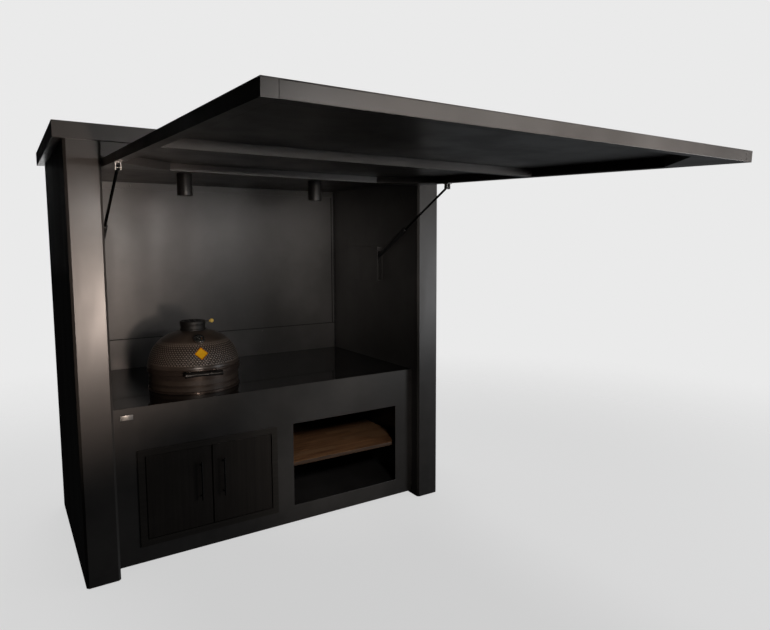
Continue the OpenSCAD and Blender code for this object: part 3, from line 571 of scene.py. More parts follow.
def merge(obj, gap=2e-6):
    """Joins doubled points, drops faces without area and turns the faces outwards."""
    made = bmesh.new()
    made.from_mesh(obj.data)
    bmesh.ops.remove_doubles(made, verts=made.verts, dist=gap)
    bmesh.ops.dissolve_degenerate(made, dist=gap, edges=made.edges)
    bmesh.ops.recalc_face_normals(made, faces=made.faces)
    made.to_mesh(obj.data)
    made.free()


def crease(obj, degrees=35.0):
    """Keeps edges sharper than an angle crisp in smooth shading."""
    obj.data.set_sharp_from_angle(angle=math.radians(degrees))


def arc(centre, radius, start, end, count=6):
    """Points on a circle in a plane, from one angle in degrees to another."""
    a = np.radians(np.linspace(start, end, count))
    return np.stack([centre[0] + radius * np.cos(a), centre[1] + radius * np.sin(a)], 1)


def path(*parts):
    """Joins single points and runs of points into one outline."""
    return np.concatenate([np.atleast_2d(np.asarray(p, float)) for p in parts])


def revolve(outline, origin, count=128, axis=(0, 0, 1), closed=True):
    """A sheet that turns an outline of (radius, height) pairs about an axis through an origin.

    Point = origin + height * axis + radius * (cos t * across + sin t * up), for t round the circle.
    """
    axis = np.asarray(axis, float) / np.linalg.norm(axis)
    helper = np.array([0.0, 0.0, 1.0]) if abs(axis[2]) < 0.9 else np.array([1.0, 0.0, 0.0])
    across = np.cross(helper, axis)
    across /= np.linalg.norm(across)
    up = np.cross(axis, across)
    t = np.linspace(0, 2 * np.pi, count, endpoint=False)[:, None, None]
    r, h = outline[None, :, 0, None], outline[None, :, 1, None]
    points = np.asarray(origin, float) + h * axis + r * (np.cos(t) * across + np.sin(t) * up)
    return points, True, closed


def prism(outline, low, high, edge, steps=3):
    """A sheet round an XY outline from one height to another, with rounded rims that close at its middle.

    The rims shrink the outline towards its centroid by edge * (1 - cos a) while the height moves by
    edge * (1 - sin a); the last rings shrink to the centroid to close the two faces.
    """
    centre = outline.mean(0)
    away = outline - centre
    size = np.linalg.norm(away, axis=1, keepdims=True)
    rings = []
    a = np.radians(np.linspace(0, 90, steps + 1))
    for t in a[::-1]:
        rings.append((edge * (1 - np.cos(t)), low + edge * (1 - np.sin(t))))
    for t in a:
        rings.append((edge * (1 - np.cos(t)), high - edge * (1 - np.sin(t))))
    sheets = []
    for shrink, z in [(None, low)] + rings + [(None, high)]:
        ring = centre + away * 0 if shrink is None else centre + away * (1 - shrink / size)
        sheets.append(np.concatenate([ring, np.full((len(ring), 1), z)], 1))
    return np.stack(sheets, 1), True, False


def slab(low, high, edge, steps=3, corner=None):
    """A block between two corners with rounded upright corners and rounded rims."""
    corner = corner or edge
    (x0, y0, z0), (x1, y1, z1) = low, high
    left, right, near, far = x0 + corner, x1 - corner, y0 + corner, y1 - corner
    centres = ((right, far), (left, far), (left, near), (right, near))
    parts = [arc(centre, corner, 90 * i, 90 * i + 90, steps + 1) for i, centre in enumerate(centres)]
    return prism(np.concatenate(parts), z0, z1, edge, steps)


def turned(sheet, matrix, origin=(0, 0, 0)):
    """A sheet carried by a rotation matrix and then moved to an origin."""
    points, cu, cv = sheet
    return points @ np.asarray(matrix, float).T + np.asarray(origin, float), cu, cv


def rod_outline(radius, length, edge, steps=4):
    """Half outline of a round bar from one end's centre to the other's, with rounded ends."""
    return path((0, 0), arc((radius - edge, edge), edge, -90, 0, steps),
                arc((radius - edge, length - edge), edge, 0, 90, steps), (0, length))


def lid_radius(height, kamado):
    """Outer radius of the lid at a height over its rim: R * (1 - (h / H)^p)^(1 / p)."""
    share = np.clip(height / kamado.lid_height, 0, 1)
    return LID_R * (1 - share ** kamado.lid_power) ** (1 / kamado.lid_power)


def lid_surface(radius, kamado):
    """Height of the lid's outer surface at a radius: seam + H * (1 - (r / R)^p)^(1 / p)."""
    p = kamado.lid_power
    return SEAM_Z + kamado.lid_height * (1 - (radius / LID_R) ** p) ** (1 / p)


def lid_outline(kamado, inset, start, end, count):
    """Lid outline as (radius, height) from one angle in degrees to another, moved in by an inset.

    Radius = (R - inset) * cos(a)^(2 / p), height = (H - inset) * sin(a)^(2 / p).
    """
    a = np.radians(np.linspace(start, end, count))
    power = 2 / kamado.lid_power
    radius = (LID_R - inset) * np.cos(a) ** power
    return np.stack([radius, (kamado.lid_height - inset) * np.sin(a) ** power], 1)


def lid_normal(height, kamado):
    """Outward (radial, upward) direction of the lid's outline at a height."""
    r, h, p = lid_radius(height, kamado), height, kamado.lid_power
    away = np.array([(r / LID_R) ** (p - 1) / LID_R, (h / kamado.lid_height) ** (p - 1) / kamado.lid_height])
    return away / np.linalg.norm(away)


def on_lid(height, kamado):
    """Matrix and origin of a place on the front of the lid, with Z outwards and X to the right."""
    nr, nz = lid_normal(height, kamado)
    matrix = KAMADO_TURN @ np.array([[1, 0, 0], [0, nz, -nr], [0, nr, nz]]).astype(float)
    origin = KAMADO + KAMADO_TURN @ np.array([0, -lid_radius(height, kamado), SEAM_Z + height])
    return matrix, origin


def scales(kamado, columns, rows):
    """The belt of raised pebbles, as a sheet and its relief in the range 0 to 1.

    The belt is unrolled to u (round the lid, in pebbles) and v (up it, in rows). Odd rows are shifted by
    half a pebble. Relief is (1 - q^2)^0.7 with q the distance to the nearest pebble's centre over its radius.
    The surface moves in along its normal by depth * (1 - relief), which fades out over the belt's first row
    and its last three.
    """
    low, high = kamado.belt_low, kamado.belt_high
    v = np.linspace(0, 1, rows)[None, :]
    t = np.linspace(0, 2 * np.pi, columns, endpoint=False)[:, None]
    height = low + (high - low) * v
    radius = lid_radius(height, kamado)
    p = kamado.lid_power
    nr = (radius / LID_R) ** (p - 1) / LID_R
    nz = (height / kamado.lid_height) ** (p - 1) / kamado.lid_height
    size = np.hypot(nr, nz)
    nr, nz = nr / size, nz / size
    row = v * kamado.scale_rows
    around = t / (2 * np.pi) * kamado.scales_around
    best = np.full((columns, rows), 9.0)
    for step in (0, 1):
        near = np.floor(row) + step
        shift = (near % 2) * 0.5
        du = (around - shift + 0.5) % 1.0 - 0.5
        dv = (row - near) / 1.1
        best = np.minimum(best, np.hypot(du * 1.05, dv * 0.98))
    relief = np.clip(1 - (best / 0.60) ** 2, 0, 1) ** 0.7
    fade = np.clip(v * kamado.scale_rows, 0, 1) * np.clip((1 - v) * kamado.scale_rows / 3.2, 0, 1)
    out = kamado.scale_depth * (relief - 1) * fade
    r = radius + out * nr
    z = SEAM_Z + height + out * nz
    points = np.stack([KAMADO[0] + r * np.cos(t), KAMADO[1] + r * np.sin(t), z * np.ones_like(t)], 2)
    return (points, True, False), 1 - (1 - relief) * fade


def softened(node, body, width, name=None):
    """A merged copy of a frame node whose sharp edges are rounded by a Bevel modifier."""
    obj = make_object(name or node + "_finish", body, (node,))
    made = bmesh.new()
    made.from_mesh(NODES[node].data)
    bmesh.ops.remove_doubles(made, verts=made.verts, dist=1e-6)
    bmesh.ops.dissolve_limit(made, angle_limit=math.radians(0.5), verts=made.verts, edges=made.edges)
    bmesh.ops.recalc_face_normals(made, faces=made.faces)
    made.to_mesh(obj.data)
    made.free()
    bevel = obj.modifiers.new("edges", "BEVEL")
    bevel.width = width
    bevel.segments = 2
    bevel.limit_method = "ANGLE"
    bevel.angle_limit = math.radians(35)
    bevel.harden_normals = False
    faces = obj.data.polygons
    faces.foreach_set("use_smooth", np.zeros(len(faces), bool))
    return obj


def owner(node):
    """Body that a frame node belongs to."""
    return next(b for b, members in frame["record"]["behaviour"]["bodies"].items() if node in members)


def screw(centre, out, radius):
    """A button-head screw with a round driving recess, standing out along a direction.

    Its dome's height = radius / 2 * (1 - 0.85 * share^2), for a share of the radius.
    """
    share = np.linspace(0.94, 0.42, 5)
    dome = np.stack([radius * share, 0.5 * radius * (1 - share ** 2 * 0.85)], 1)
    outline = path((0, -0.001), (radius, -0.001), (radius, 0.0004), dome,
                   (radius * 0.34, radius * 2.8 / 6), (radius * 0.30, 0.0006), (0, 0.0006))
    return revolve(outline, centre, 20, out, closed=False)


# Operators --------------------------------------------------------------------------------

class MakeShell(bpy.types.Operator):
    """Round the folded edges of the pillars, roof, canopy and base and coat them"""
    bl_idname = "barbecue.shell"
    bl_label = "Coated shell"

    def execute(self, context):
        warm = (0.052, 0.048, 0.045)
        coat = powder_coat("shell_coat", warm, 0.36)
        lining = powder_coat("lining_coat", (0.060, 0.057, 0.055), 0.40, dust=0.2)
        inside = powder_coat("inside_coat", (0.020, 0.019, 0.019), 0.5, dust=0.3)
        for node in ("pillar_left", "pillar_right", "roof_cap", "header", "side_rails", "cross_rails",
                     "canopy_skin", "corner_gussets", "base_front"):
            shade(coat, softened(node, owner(node), 0.0016).name)
        for node in ("back_trim", "back_upstand", "strut_faces", "strut_rims"):
            shade(lining, softened(node, owner(node), 0.0008).name)
        shade(coat, "roof_underplate", "back_panel_lower")
        shade(lining, "lining_left", "lining_right", "ceiling_panel", "back_panel_upper")
        shade(inside, "base_floor", "divider", "kamado_stand", "shelf_rests")
        shade(rubber(), "foot_pads")
        return {"FINISHED"}


class MakeFittings(bpy.types.Operator):
    """Screws on the back wall and base, the blank plate, brackets and pins"""
    bl_idname = "barbecue.fittings"
    bl_label = "Fittings"

    def execute(self, context):
        settings = context.scene.cabinet_settings
        r = settings.screw_radius
        low, high = box("back_trim")
        wall = low[1]
        x0, x1 = low[0] + 0.011, high[0] - 0.011
        places = [(x, wall, z) for x in (x0, x1) for z in (1.16, 1.50, 1.84, 2.13)]
        places += [(x, wall, high[2] - 0.022) for x in (-0.62, -0.2, 0.2, 0.62)]
        up = box("back_upstand")
        places += [(x, up[0][1], up[1][2] - 0.018) for x in (x0, -0.31, 0.31, x1)]
        screws = make_object("wall_screws", "cabinet")
        fill(screws, [screw(p, (0, -1, 0), r) for p in places])
        steel = bright_metal("fitting_steel", (0.30, 0.29, 0.28), 0.36)
        shade(brushed("screw_dark", (0.11, 0.105, 0.10), 0.35, "Z", 0.6), "wall_screws")
        self.seams_and_shade_strips(low, high, up)
        low, high = box("name_plate")
        plate = make_object("blank_plate", "cabinet", ("name_plate",))
        sheets = [slab(low, high, 0.0006, 2, 0.004)]
        for x in (low[0] + 0.005, high[0] - 0.005):
            sheets.append(screw((x, low[1] + 0.0012, (low[2] + high[2]) / 2), (0, -1, 0), 0.0018))
        fill(plate, sheets)
        crease(plate)
        shade(brushed("plate_satin", (0.50, 0.49, 0.47), 0.34, "X", 1.0, amount=0.12), "blank_plate")
        for node in ("bracket_left", "bracket_right"):
            shade(steel, softened(node, "canopy", 0.0007).name)
        shade(steel, "door_pivots", "canopy_shafts", "strut_studs", "pivot_blocks", "draft_frame", "draft_door")
        grill = brushed("grate_steel", (0.42, 0.41, 0.39), 0.33, "Y", 1.0)
        shade(grill, "grates")
        return {"FINISHED"}

    @staticmethod
    def seams_and_shade_strips(low, high, up):
        """Dark strips: sealing beads inside the trim frame and along the upstand's joint, and painted shade strips
        in both wall corners.
        """
        strip, bead, corner_shade_width = 0.0225, 0.007, 0.011
        top, foot, face = high[2] - strip, up[1][2], low[1]
        front, back = face + 0.0015, face + 0.0065
        parts = [slab((low[0] + strip, front, top - bead), (high[0] - strip, back, top), 0.0012)]
        for side, inner, corner in ((1, high[0] - strip, high[0]), (-1, low[0] + strip, low[0])):
            x0, x1 = sorted((inner, inner - side * bead))
            parts.append(slab((x0, front, foot + 0.003), (x1, back, top), 0.0012))
            # Strip in each wall corner: painted shade, a dark sheet where the corner lies in shade.
            x0, x1 = sorted((corner, corner - side * corner_shade_width))
            parts.append(slab((x0, face - 0.0045, box("worktop")[1][2]), (x1, face + 0.0010, high[2]), 0.0015))
        parts.append(slab((low[0], face - 0.0012, foot - 0.0015), (high[0], face + 0.0020, foot + 0.0045), 0.0006))
        obj = make_object("wall_seams_and_shade_strips", "cabinet")
        fill(obj, parts)
        crease(obj)
        # Dark rubber for the sealing beads and for the painted corner shade strips.
        shade(rubber(), "wall_seams_and_shade_strips")


class MakeWorktop(bpy.types.Operator):
    """Polished stone worktop with eased edges"""
    bl_idname = "barbecue.worktop"
    bl_label = "Worktop"

    def execute(self, context):
        shade(polished_stone(), softened("worktop", "cabinet", 0.0016).name)
        return {"FINISHED"}


class MakeDoors(bpy.types.Operator):
    """Satin bronze doors and their surround, with round bar handles"""
    bl_idname = "barbecue.doors"
    bl_label = "Doors"

    def execute(self, context):
        settings = context.scene.cabinet_settings
        bronze = brushed("bronze_sheet", (0.040, 0.033, 0.028), 0.34, "Z", 0.35, amount=0.28)
        frame_bronze = brushed("bronze_frame", (0.052, 0.045, 0.039), 0.32, "X", 0.35, amount=0.25)
        shade(frame_bronze, softened("door_surround", "cabinet", 0.0012).name)
        for side in ("left", "right"):
            shade(bronze, softened("door_" + side, "door_" + side, 0.0010).name)
            low, high = box("handle_" + side)
            radius = (high[0] - low[0]) / 2
            x, length = (low[0] + high[0]) / 2, high[2] - low[2]
            y = low[1] + radius
            handle = make_object("bar_handle_" + side, "door_" + side, ("handle_" + side,))
            bar = rod_outline(radius, length, settings.handle_edge)
            sheets = [revolve(bar, (x, y, low[2]), 28, closed=False)]
            post = path((0, 0.002), (radius * 0.62, 0.002), (radius * 0.62, high[1] - y - 0.004),
                        arc((radius * 0.62 + 0.002, high[1] - y - 0.004), 0.002, 180, 90, 4),
                        (radius * 1.15, high[1] - y - 0.002), (radius * 1.15, high[1] - y), (0, high[1] - y))
            for z in (low[2] + 0.022, high[2] - 0.022):
                sheets.append(revolve(post, (x, y, z), 24, (0, 1, 0), closed=False))
            fill(handle, sheets)
            crease(handle)
            shade(self.metal(), handle.name)
        return {"FINISHED"}

    @staticmethod
    def metal():
        found = bpy.data.materials.get("handle_black")
        return found or brushed("handle_black", (0.030, 0.028, 0.027), 0.28, "Z", 0.6, amount=0.3)


class MakeShelf(bpy.types.Operator):
    """Oiled wooden shelf with rounded edges and one cut corner"""
    bl_idname = "barbecue.shelf"
    bl_label = "Shelf"

    def execute(self, context):
        edge = context.scene.cabinet_settings.shelf_edge
        low, high = box("niche_shelf")
        mesh = NODES["niche_shelf"].data
        points = np.empty(len(mesh.vertices) * 3)
        mesh.vertices.foreach_get("co", points)
        points = np.unique(points.reshape(-1, 3)[:, :2].round(5), axis=0)
        centre = points.mean(0)
        order = np.argsort(np.arctan2(points[:, 1] - centre[1], points[:, 0] - centre[0]))
        outline = self.rounded(points[order], 0.012)
        shelf = make_object("wood_shelf", "cabinet", ("niche_shelf",))
        fill(shelf, [prism(outline, low[2], high[2], edge, 4)])
        crease(shelf, 50)
        shade(oiled_wood(), "wood_shelf")
        shelf.data.materials.append(wood_edge())
        normals = np.empty(len(shelf.data.polygons) * 3)
        shelf.data.polygons.foreach_get("normal", normals)
        sides = (np.abs(normals.reshape(-1, 3)[:, 2]) < 0.75).astype(np.int32)
        shelf.data.polygons.foreach_set("material_index", sides)
        return {"FINISHED"}

    @staticmethod
    def rounded(corners, radius, steps=6):
        """An outline whose corners are replaced by quadratic curves that start a radius away from each corner."""
        before = np.roll(corners, 1, 0) - corners
        after = np.roll(corners, -1, 0) - corners
        before /= np.linalg.norm(before, axis=1, keepdims=True)
        after /= np.linalg.norm(after, axis=1, keepdims=True)
        t = np.linspace(0, 1, steps)[None, :, None]
        a, b = corners + before * radius, corners + after * radius
        curve = a[:, None] * (1 - t) ** 2 + 2 * corners[:, None] * t * (1 - t) + b[:, None] * t ** 2
        return curve.reshape(-1, 2)


class MakeSpots(bpy.types.Operator):
    """Ceiling spotlights: tubes with a rolled rim, a stepped baffle and a frosted lens"""
    bl_idname = "barbecue.spots"
    bl_label = "Spotlights"

    def execute(self, context):
        edge = context.scene.cabinet_settings.spot_edge
        low, high = box("spot_housings")
        radius = (high[1] - low[1]) / 2
        y = (low[1] + high[1]) / 2
        height = high[2] - low[2]
        wall = 0.004
        outline = path((0, 0.0155), (radius - 0.012, 0.0155), (radius - 0.010, 0.011), (radius - 0.0075, 0.011),
                       (radius - 0.0065, 0.0075), (radius - wall, 0.0075), (radius - wall, edge),
                       arc((radius - wall / 2, edge), wall / 2, 180, 360, 8),
                       (radius, 0.030), (radius - 0.0008, 0.0306), (radius - 0.0008, 0.0318), (radius, 0.0324),
                       (radius, height - 0.004), (radius - 0.001, height), (0, height))
        tubes = make_object("spot_tubes", "cabinet", ("spot_housings",))
        lenses = make_object("spot_glass", "cabinet", ("spot_lenses",))
        glass_low, glass_high = box("spot_lenses")
        bulge = path((0, glass_low[2] - low[2]), (0.02, glass_low[2] - low[2] + 0.0004),
                     (radius - 0.008, glass_low[2] - low[2] + 0.0025), (radius - 0.0075, glass_high[2] - low[2]),
                     (0, glass_high[2] - low[2]))
        xs = (low[0] + radius, high[0] - radius)
        fill(tubes, [revolve(outline, (x, y, low[2]), 96, closed=False) for x in xs])
        fill(lenses, [revolve(bulge, (x, y, low[2]), 64, closed=False) for x in xs])
        crease(tubes)
        crease(lenses)
        shade(brushed("spot_black", (0.022, 0.020, 0.019), 0.36, "Z", 0.3, amount=0.2), "spot_tubes")
        shade(frosted_lens(), "spot_glass")
        return {"FINISHED"}


class MakeSprings(bpy.types.Operator):
    """Gas springs: ground rods with end eyes, painted cylinders with a rolled neck and a seam"""
    bl_idname = "barbecue.springs"
    bl_label = "Gas springs"

    def execute(self, context):
        joints = {j["name"]: j for j in frame["record"]["behaviour"]["joints"]}
        stud = middle("strut_studs")
        satin = brushed("spring_black", (0.014, 0.014, 0.014), 0.38, "Y", 0.2, amount=0.3)
        ground = bright_metal("spring_rod", (0.085, 0.083, 0.080), 0.16)
        for side in ("left", "right"):
            hook = np.array(joints["rod_%s_swing" % side]["pos_m"], float)
            anchor = np.array([hook[0], stud[1], stud[2]])
            along = anchor - hook
            length = np.linalg.norm(along)
            along /= length
            rod = make_object("spring_rod_" + side, "rod_" + side, ("rod_" + side,))
            tube = make_object("spring_tube_" + side, "cylinder_" + side, ("cylinder_" + side,))
            out = 0.516
            neck = path((0, 0.010), (0.0055, 0.010), (0.0055, 0.0175), (0.0062, 0.018), (0.0070, 0.0195),
                        (0.0070, out + 0.010), (0, out + 0.010))
            fill(rod, [revolve(neck, hook, 32, along, closed=False), self.eye(hook)])
            end = length - 0.019
            body = path((0.0071, out + 0.001), (0.0071, out), (0.0092, out), (0.0100, out + 0.0008),
                        (0.0118, out + 0.0022), arc((0.0118, out + 0.0045), 0.0022, -90, 0, 5),
                        (0.0140, out + 0.012), (0.0132, out + 0.014), (0.0132, out + 0.018), (0.0140, out + 0.020),
                        (0.0140, end - 0.026), (0.0133, end - 0.024), (0.0133, end - 0.020), (0.0140, end - 0.018),
                        (0.0140, end - 0.003), (0.0125, end), (0.0052, end), (0.0050, end + 0.009),
                        (0, end + 0.009), (0, out + 0.001))
            fill(tube, [revolve(body, hook, 56, along), self.eye(anchor)])
            for obj, material in ((rod, ground), (tube, satin)):
                crease(obj)
                shade(material, obj.name)
        return {"FINISHED"}

    @staticmethod
    def eye(centre, outer=0.011, bore=0.0042, half=0.005, edge=0.0008):
        """A flat ring across X with rounded rims, closed round its bore."""
        outline = path(arc((outer - edge, half - edge), edge, 0, 90, 3),
                       arc((bore + edge, half - edge), edge, 90, 180, 3),
                       arc((bore + edge, -half + edge), edge, 180, 270, 3),
                       arc((outer - edge, -half + edge), edge, 270, 360, 3))
        outline = np.concatenate([outline, outline[:1]])
        return revolve(outline, centre, 40, (1, 0, 0))


class MakeLid(bpy.types.Operator):
    """Glazed kamado lid with its belt of raised pebbles, and the glazed bowl"""
    bl_idname = "barbecue.lid"
    bl_label = "Kamado lid"

    def execute(self, context):
        kamado = context.scene.kamado_settings
        hole = VENT_R - 0.020
        belt, relief = scales(kamado, kamado.scales_around * 10, 70)
        rim = path((LID_R - 0.0008, 0.0), (LID_R, 0.0012))
        heights = np.linspace(0.0012, kamado.belt_low, 40)
        lower = np.stack([lid_radius(heights, kamado), heights], 1)
        lower[:, 0] -= 0.0034 * np.exp(-((heights - 0.0320) / 0.0022) ** 2)
        lower[:, 0] -= 0.0026 * np.exp(-((heights - kamado.belt_low) / 0.0016) ** 2)
        foot = revolve(np.concatenate([rim[:1], lower]), KAMADO + (0, 0, SEAM_Z), AROUND_LID)
        p = kamado.lid_power
        start = math.degrees(math.asin((kamado.belt_high / kamado.lid_height) ** (p / 2)))
        stop = math.degrees(math.acos((hole / LID_R) ** (p / 2)))
        upper = lid_outline(kamado, 0.0, start, stop, 40)
        stop_in = math.degrees(math.acos((hole / (LID_R - kamado.wall)) ** (p / 2)))
        inner = lid_outline(kamado, kamado.wall, stop_in, 0, 60)
        around = np.concatenate([upper, inner, rim[:1]])
        crown = revolve(around, KAMADO + (0, 0, SEAM_Z), AROUND_LID)
        lid = make_object("glazed_lid", "kamado_lid", ("lid_shell",))
        plain = np.ones(foot[0][..., 0].size + crown[0][..., 0].size)
        fill(lid, [belt, foot, crown], np.concatenate([relief.ravel(), plain]), ABOUT_KAMADO)
        crease(lid, 60)
        shade(glazed_taupe(), "glazed_lid")
        shade(glazed_taupe_plain(), "kamado_shell")
        shade(fire_clay(), "fire_box", "fire_plate")
        return {"FINISHED"}


class MakeBands(bpy.types.Operator):
    """Rolled steel bands round the seam, with bolts, the hinge and the worktop's ring"""
    bl_idname = "barbecue.bands"
    bl_label = "Bands"

    def execute(self, context):
        paint = self.paint()
        self.band("lid_ring", "kamado_lid", "lid_band")
        low, high = box("worktop_ring")
        ring = make_object("counter_ring", "cabinet", ("worktop_ring",))
        outer, inner = (high[0] - low[0]) / 2, (high[0] - low[0]) / 2 - 0.007
        top, foot = high[2], low[2]
        outline = path((inner, foot), (outer, foot), (outer, top - 0.004),
                       arc((outer - 0.0032, top - 0.0036), 0.0032, 0, 90, 6),
                       arc((inner + 0.002, top - 0.002), 0.002, 90, 180, 4), (inner, foot))
        fill(ring, [revolve(outline, KAMADO, 220)])
        crease(ring)
        shade(paint, "lid_ring", "counter_ring")
        for node in ("lower_band", "lid_hinge"):
            shade(paint, softened(node, owner(node), 0.0006).name)
        return {"FINISHED"}

    @staticmethod
    def paint():
        found = bpy.data.materials.get("band_taupe")
        return found or brushed("band_taupe", (0.088, 0.066, 0.055), 0.30, "X", 0.55, amount=0.18)

    @staticmethod
    def band(name, body, node):
        """A flat band with rolled edges and a shallow groove along its middle, and bolt heads round it."""
        low, high = box(node)
        outer = (high[0] - low[0]) / 2
        inner = outer - 0.0023
        z0, z1 = low[2], high[2]
        roll = 0.0011
        outline = path(arc((outer - roll, z0 + roll), roll, -90, 0, 4), (outer, z0 + 0.006),
                       (outer - 0.0012, z0 + 0.0085), (outer - 0.0012, z1 - 0.0085), (outer, z1 - 0.006),
                       arc((outer - roll, z1 - roll), roll, 0, 90, 4), (inner, z1), (inner, z0))
        outline = np.concatenate([outline, outline[:1]])
        obj = make_object(name, body, (node,))
        sheets = [revolve(outline, KAMADO, 256)]
        centre_z = (z0 + z1) / 2
        for degrees in (232, 238, 302, 308, 200, 340, 20, 160):
            a = math.radians(degrees)
            out = np.array([math.cos(a), math.sin(a), 0.0])
            sheets.append(screw(KAMADO + out * (outer - 0.0016) + (0, 0, centre_z), out, 0.0040))
        fill(obj, sheets, place=ABOUT_KAMADO)
        crease(obj)


class MakeLidHandle(bpy.types.Operator):
    """Lid handle: a dark grip with end caps on two arms"""
    bl_idname = "barbecue.lid_handle"
    bl_label = "Lid handle"

    def execute(self, context):
        kamado = context.scene.kamado_settings
        low, high = box("lid_band")
        band_r, z = (high[0] - low[0]) / 2, (low[2] + high[2]) / 2
        radius, length = kamado.grip_radius, kamado.grip_length
        x0, y = KAMADO[0] - length / 2, KAMADO[1] - LID_R - kamado.grip_reach
        cap = 0.014
        body = path((0, 0), arc((radius - 0.004, 0.004), 0.004, -90, 0, 6), (radius, cap),
                    (radius - 0.0012, cap + 0.0008), (radius - 0.0012, cap + 0.0025), (radius, cap + 0.0033))
        t = np.linspace(0, 1, 30)
        between = cap + 0.0040 + t * (length - 2 * cap - 0.008)
        waist = np.stack([radius - 0.0022 * np.sin(np.pi * t) ** 1.5, between], 1)
        tail = body[::-1] * [1, -1] + [0, length]
        handle = make_object("lid_grip", "kamado_lid", ("lid_handle",))
        sheets = [revolve(np.concatenate([body, waist, tail]), (x0, y, z), 64, (1, 0, 0), closed=False)]
        fill(handle, sheets, place=ABOUT_KAMADO)
        crease(handle)
        arms = make_object("lid_grip_arms", "kamado_lid")
        parts = []
        for x in (-0.080 + KAMADO[0], 0.068 + KAMADO[0]):
            reach = KAMADO[1] - math.sqrt(band_r ** 2 - (x + 0.006 - KAMADO[0]) ** 2)
            parts.append(slab((x, y, z - 0.009), (x + 0.012, reach + 0.001, z + 0.009), 0.0015, 3, 0.0025))
            parts.append(slab((x - 0.010, reach - 0.0035, z - 0.013), (x + 0.022, reach + 0.003, z + 0.013),
                              0.0010, 2, 0.0015))
            for dx in (-0.005, 0.017):
                parts.append(screw((x + dx, reach - 0.0035, z), (0, -1, 0), 0.0038))
        fill(arms, parts, place=ABOUT_KAMADO)
        crease(arms)
        shade(brushed("grip_dark", (0.020, 0.019, 0.018), 0.26, "X", 0.0, amount=0.3), "lid_grip")
        shade(MakeBands.paint(), "lid_grip_arms")
        return {"FINISHED"}


class MakeThermometer(bpy.types.Operator):
    """Thermometer: stepped case, dark card with a pale needle, domed glass and its stem"""
    bl_idname = "barbecue.thermometer"
    bl_label = "Thermometer"

    def execute(self, context):
        kamado = context.scene.kamado_settings
        matrix, origin = on_lid(0.191, kamado)
        r = 0.033
        case = path((0, 0.0035), (0.010, 0.0035), (0.012, 0.0035), (0.022, 0.0035), (r - 0.006, 0.003),
                    (r - 0.002, 0.0045), (r - 0.001, 0.0075), (r - 0.003, 0.0085), (r - 0.003, 0.0105),
                    (r - 0.001, 0.0115), arc((r - 0.0022, 0.0178), 0.0022, -45, 90, 8),
                    (r - 0.0042, 0.0196), (r - 0.0048, 0.0165), (0, 0.0165))
        body = make_object("gauge_case", "kamado_lid", ("thermometer",))
        stem = rod_outline(0.0034, 0.062, 0.001)
        fill(body, [turned(revolve(case, (0, 0, 0), 96, closed=False), matrix, origin),
                    turned(revolve(stem, (0, 0, -0.058), 24, closed=False), matrix, origin)])
        crease(body)
        card = make_object("gauge_card", "kamado_lid")
        disc = path((0, 0.0168), (r - 0.0052, 0.0168))
        flat = revolve(disc, (0, 0, 0), 96, closed=False)
        fill(card, [turned(flat, matrix, origin)])
        self.map_dial(card, matrix, origin, r - 0.0052)
        needle = make_object("gauge_needle", "kamado_lid")
        turn = np.array(Matrix.Rotation(math.radians(38), 3, "Z"))
        hand = slab((-0.0006, -0.008, 0.01715), (0.0006, 0.021, 0.01755), 0.0001, 1, 0.0004)
        hub = revolve(rod_outline(0.0022, 0.0012, 0.0003), (0, 0, 0.0169), 24, closed=False)
        fill(needle, [turned(hand, matrix @ turn, origin), turned(hub, matrix, origin)])
        glass = make_object("gauge_glass", "kamado_lid")
        t = np.linspace(0, 1, 10)
        dome = np.stack([(r - 0.0050) * t, 0.0190 + 0.0009 * (1 - t ** 2)], 1)
        under = dome[::-1] - [0, 0.0006]
        fill(glass, [turned(revolve(np.concatenate([dome, under]), (0, 0, 0), 64, closed=False), matrix, origin)])
        shade(bright_metal("gauge_chrome", (0.74, 0.73, 0.71), 0.10), "gauge_case")
        shade(dial_card(), "gauge_card")
        shade(brushed("needle_pale", (0.60, 0.58, 0.54), 0.4, "Y"), "gauge_needle")
        shade(clear_glass(), "gauge_glass")
        return {"FINISHED"}

    @staticmethod
    def map_dial(obj, matrix, origin, radius):
        """UV = place across the dial over its radius, from -1 to 1."""
        mesh = obj.data
        points = np.empty(len(mesh.vertices) * 3)
        mesh.vertices.foreach_get("co", points)
        flat = ((points.reshape(-1, 3) - origin) @ matrix)[:, :2] / radius
        index = np.empty(len(mesh.loops), np.int32)
        mesh.loops.foreach_get("vertex_index", index)
        layer = mesh.uv_layers.new(name="dial")
        layer.data.foreach_set("uv", flat[index].astype(np.float32).ravel())


class MakeBadge(bpy.types.Operator):
    """Plain square badge set on its corner, with a raised rim, left blank"""
    bl_idname = "barbecue.badge"
    bl_label = "Plain badge"

    def execute(self, context):
        kamado = context.scene.kamado_settings
        matrix, origin = on_lid(0.122, kamado)
        side = 0.056
        corner = MakeShelf.rounded(np.array([(-1, -1), (1, -1), (1, 1), (-1, 1)]) * side / 2, 0.004, 6)
        rings = []
        profile = ((0, 0.0015), (1, 0.0015), (1, 0.0038), (0.985, 0.0045), (0.94, 0.0045), (0.91, 0.0034),
                   (0.86, 0.0031), (0, 0.0033))
        for share, z in profile:
            rings.append(np.concatenate([corner * share, np.full((len(corner), 1), z)], 1))
        badge = make_object("blank_badge", "kamado_lid", ("badge",))
        quarter = np.array(Matrix.Rotation(math.radians(45), 3, "Z"))
        stud = path((0, -0.001), (0.010, -0.001), (0.010, 0.0016), (0, 0.0016))
        boss = revolve(stud, (0, 0, 0), 32, closed=False)
        shares = np.broadcast_to([share for share, z in profile], (len(corner), len(rings))).reshape(-1)
        plate = turned((np.stack(rings, 1), True, False), matrix @ quarter, origin)
        fill(badge, [plate, turned(boss, matrix, origin)],
             relief=np.concatenate([shares, np.zeros(boss[0][..., 0].size)]))
        crease(badge)
        shade(enamel(), "blank_badge")
        return {"FINISHED"}


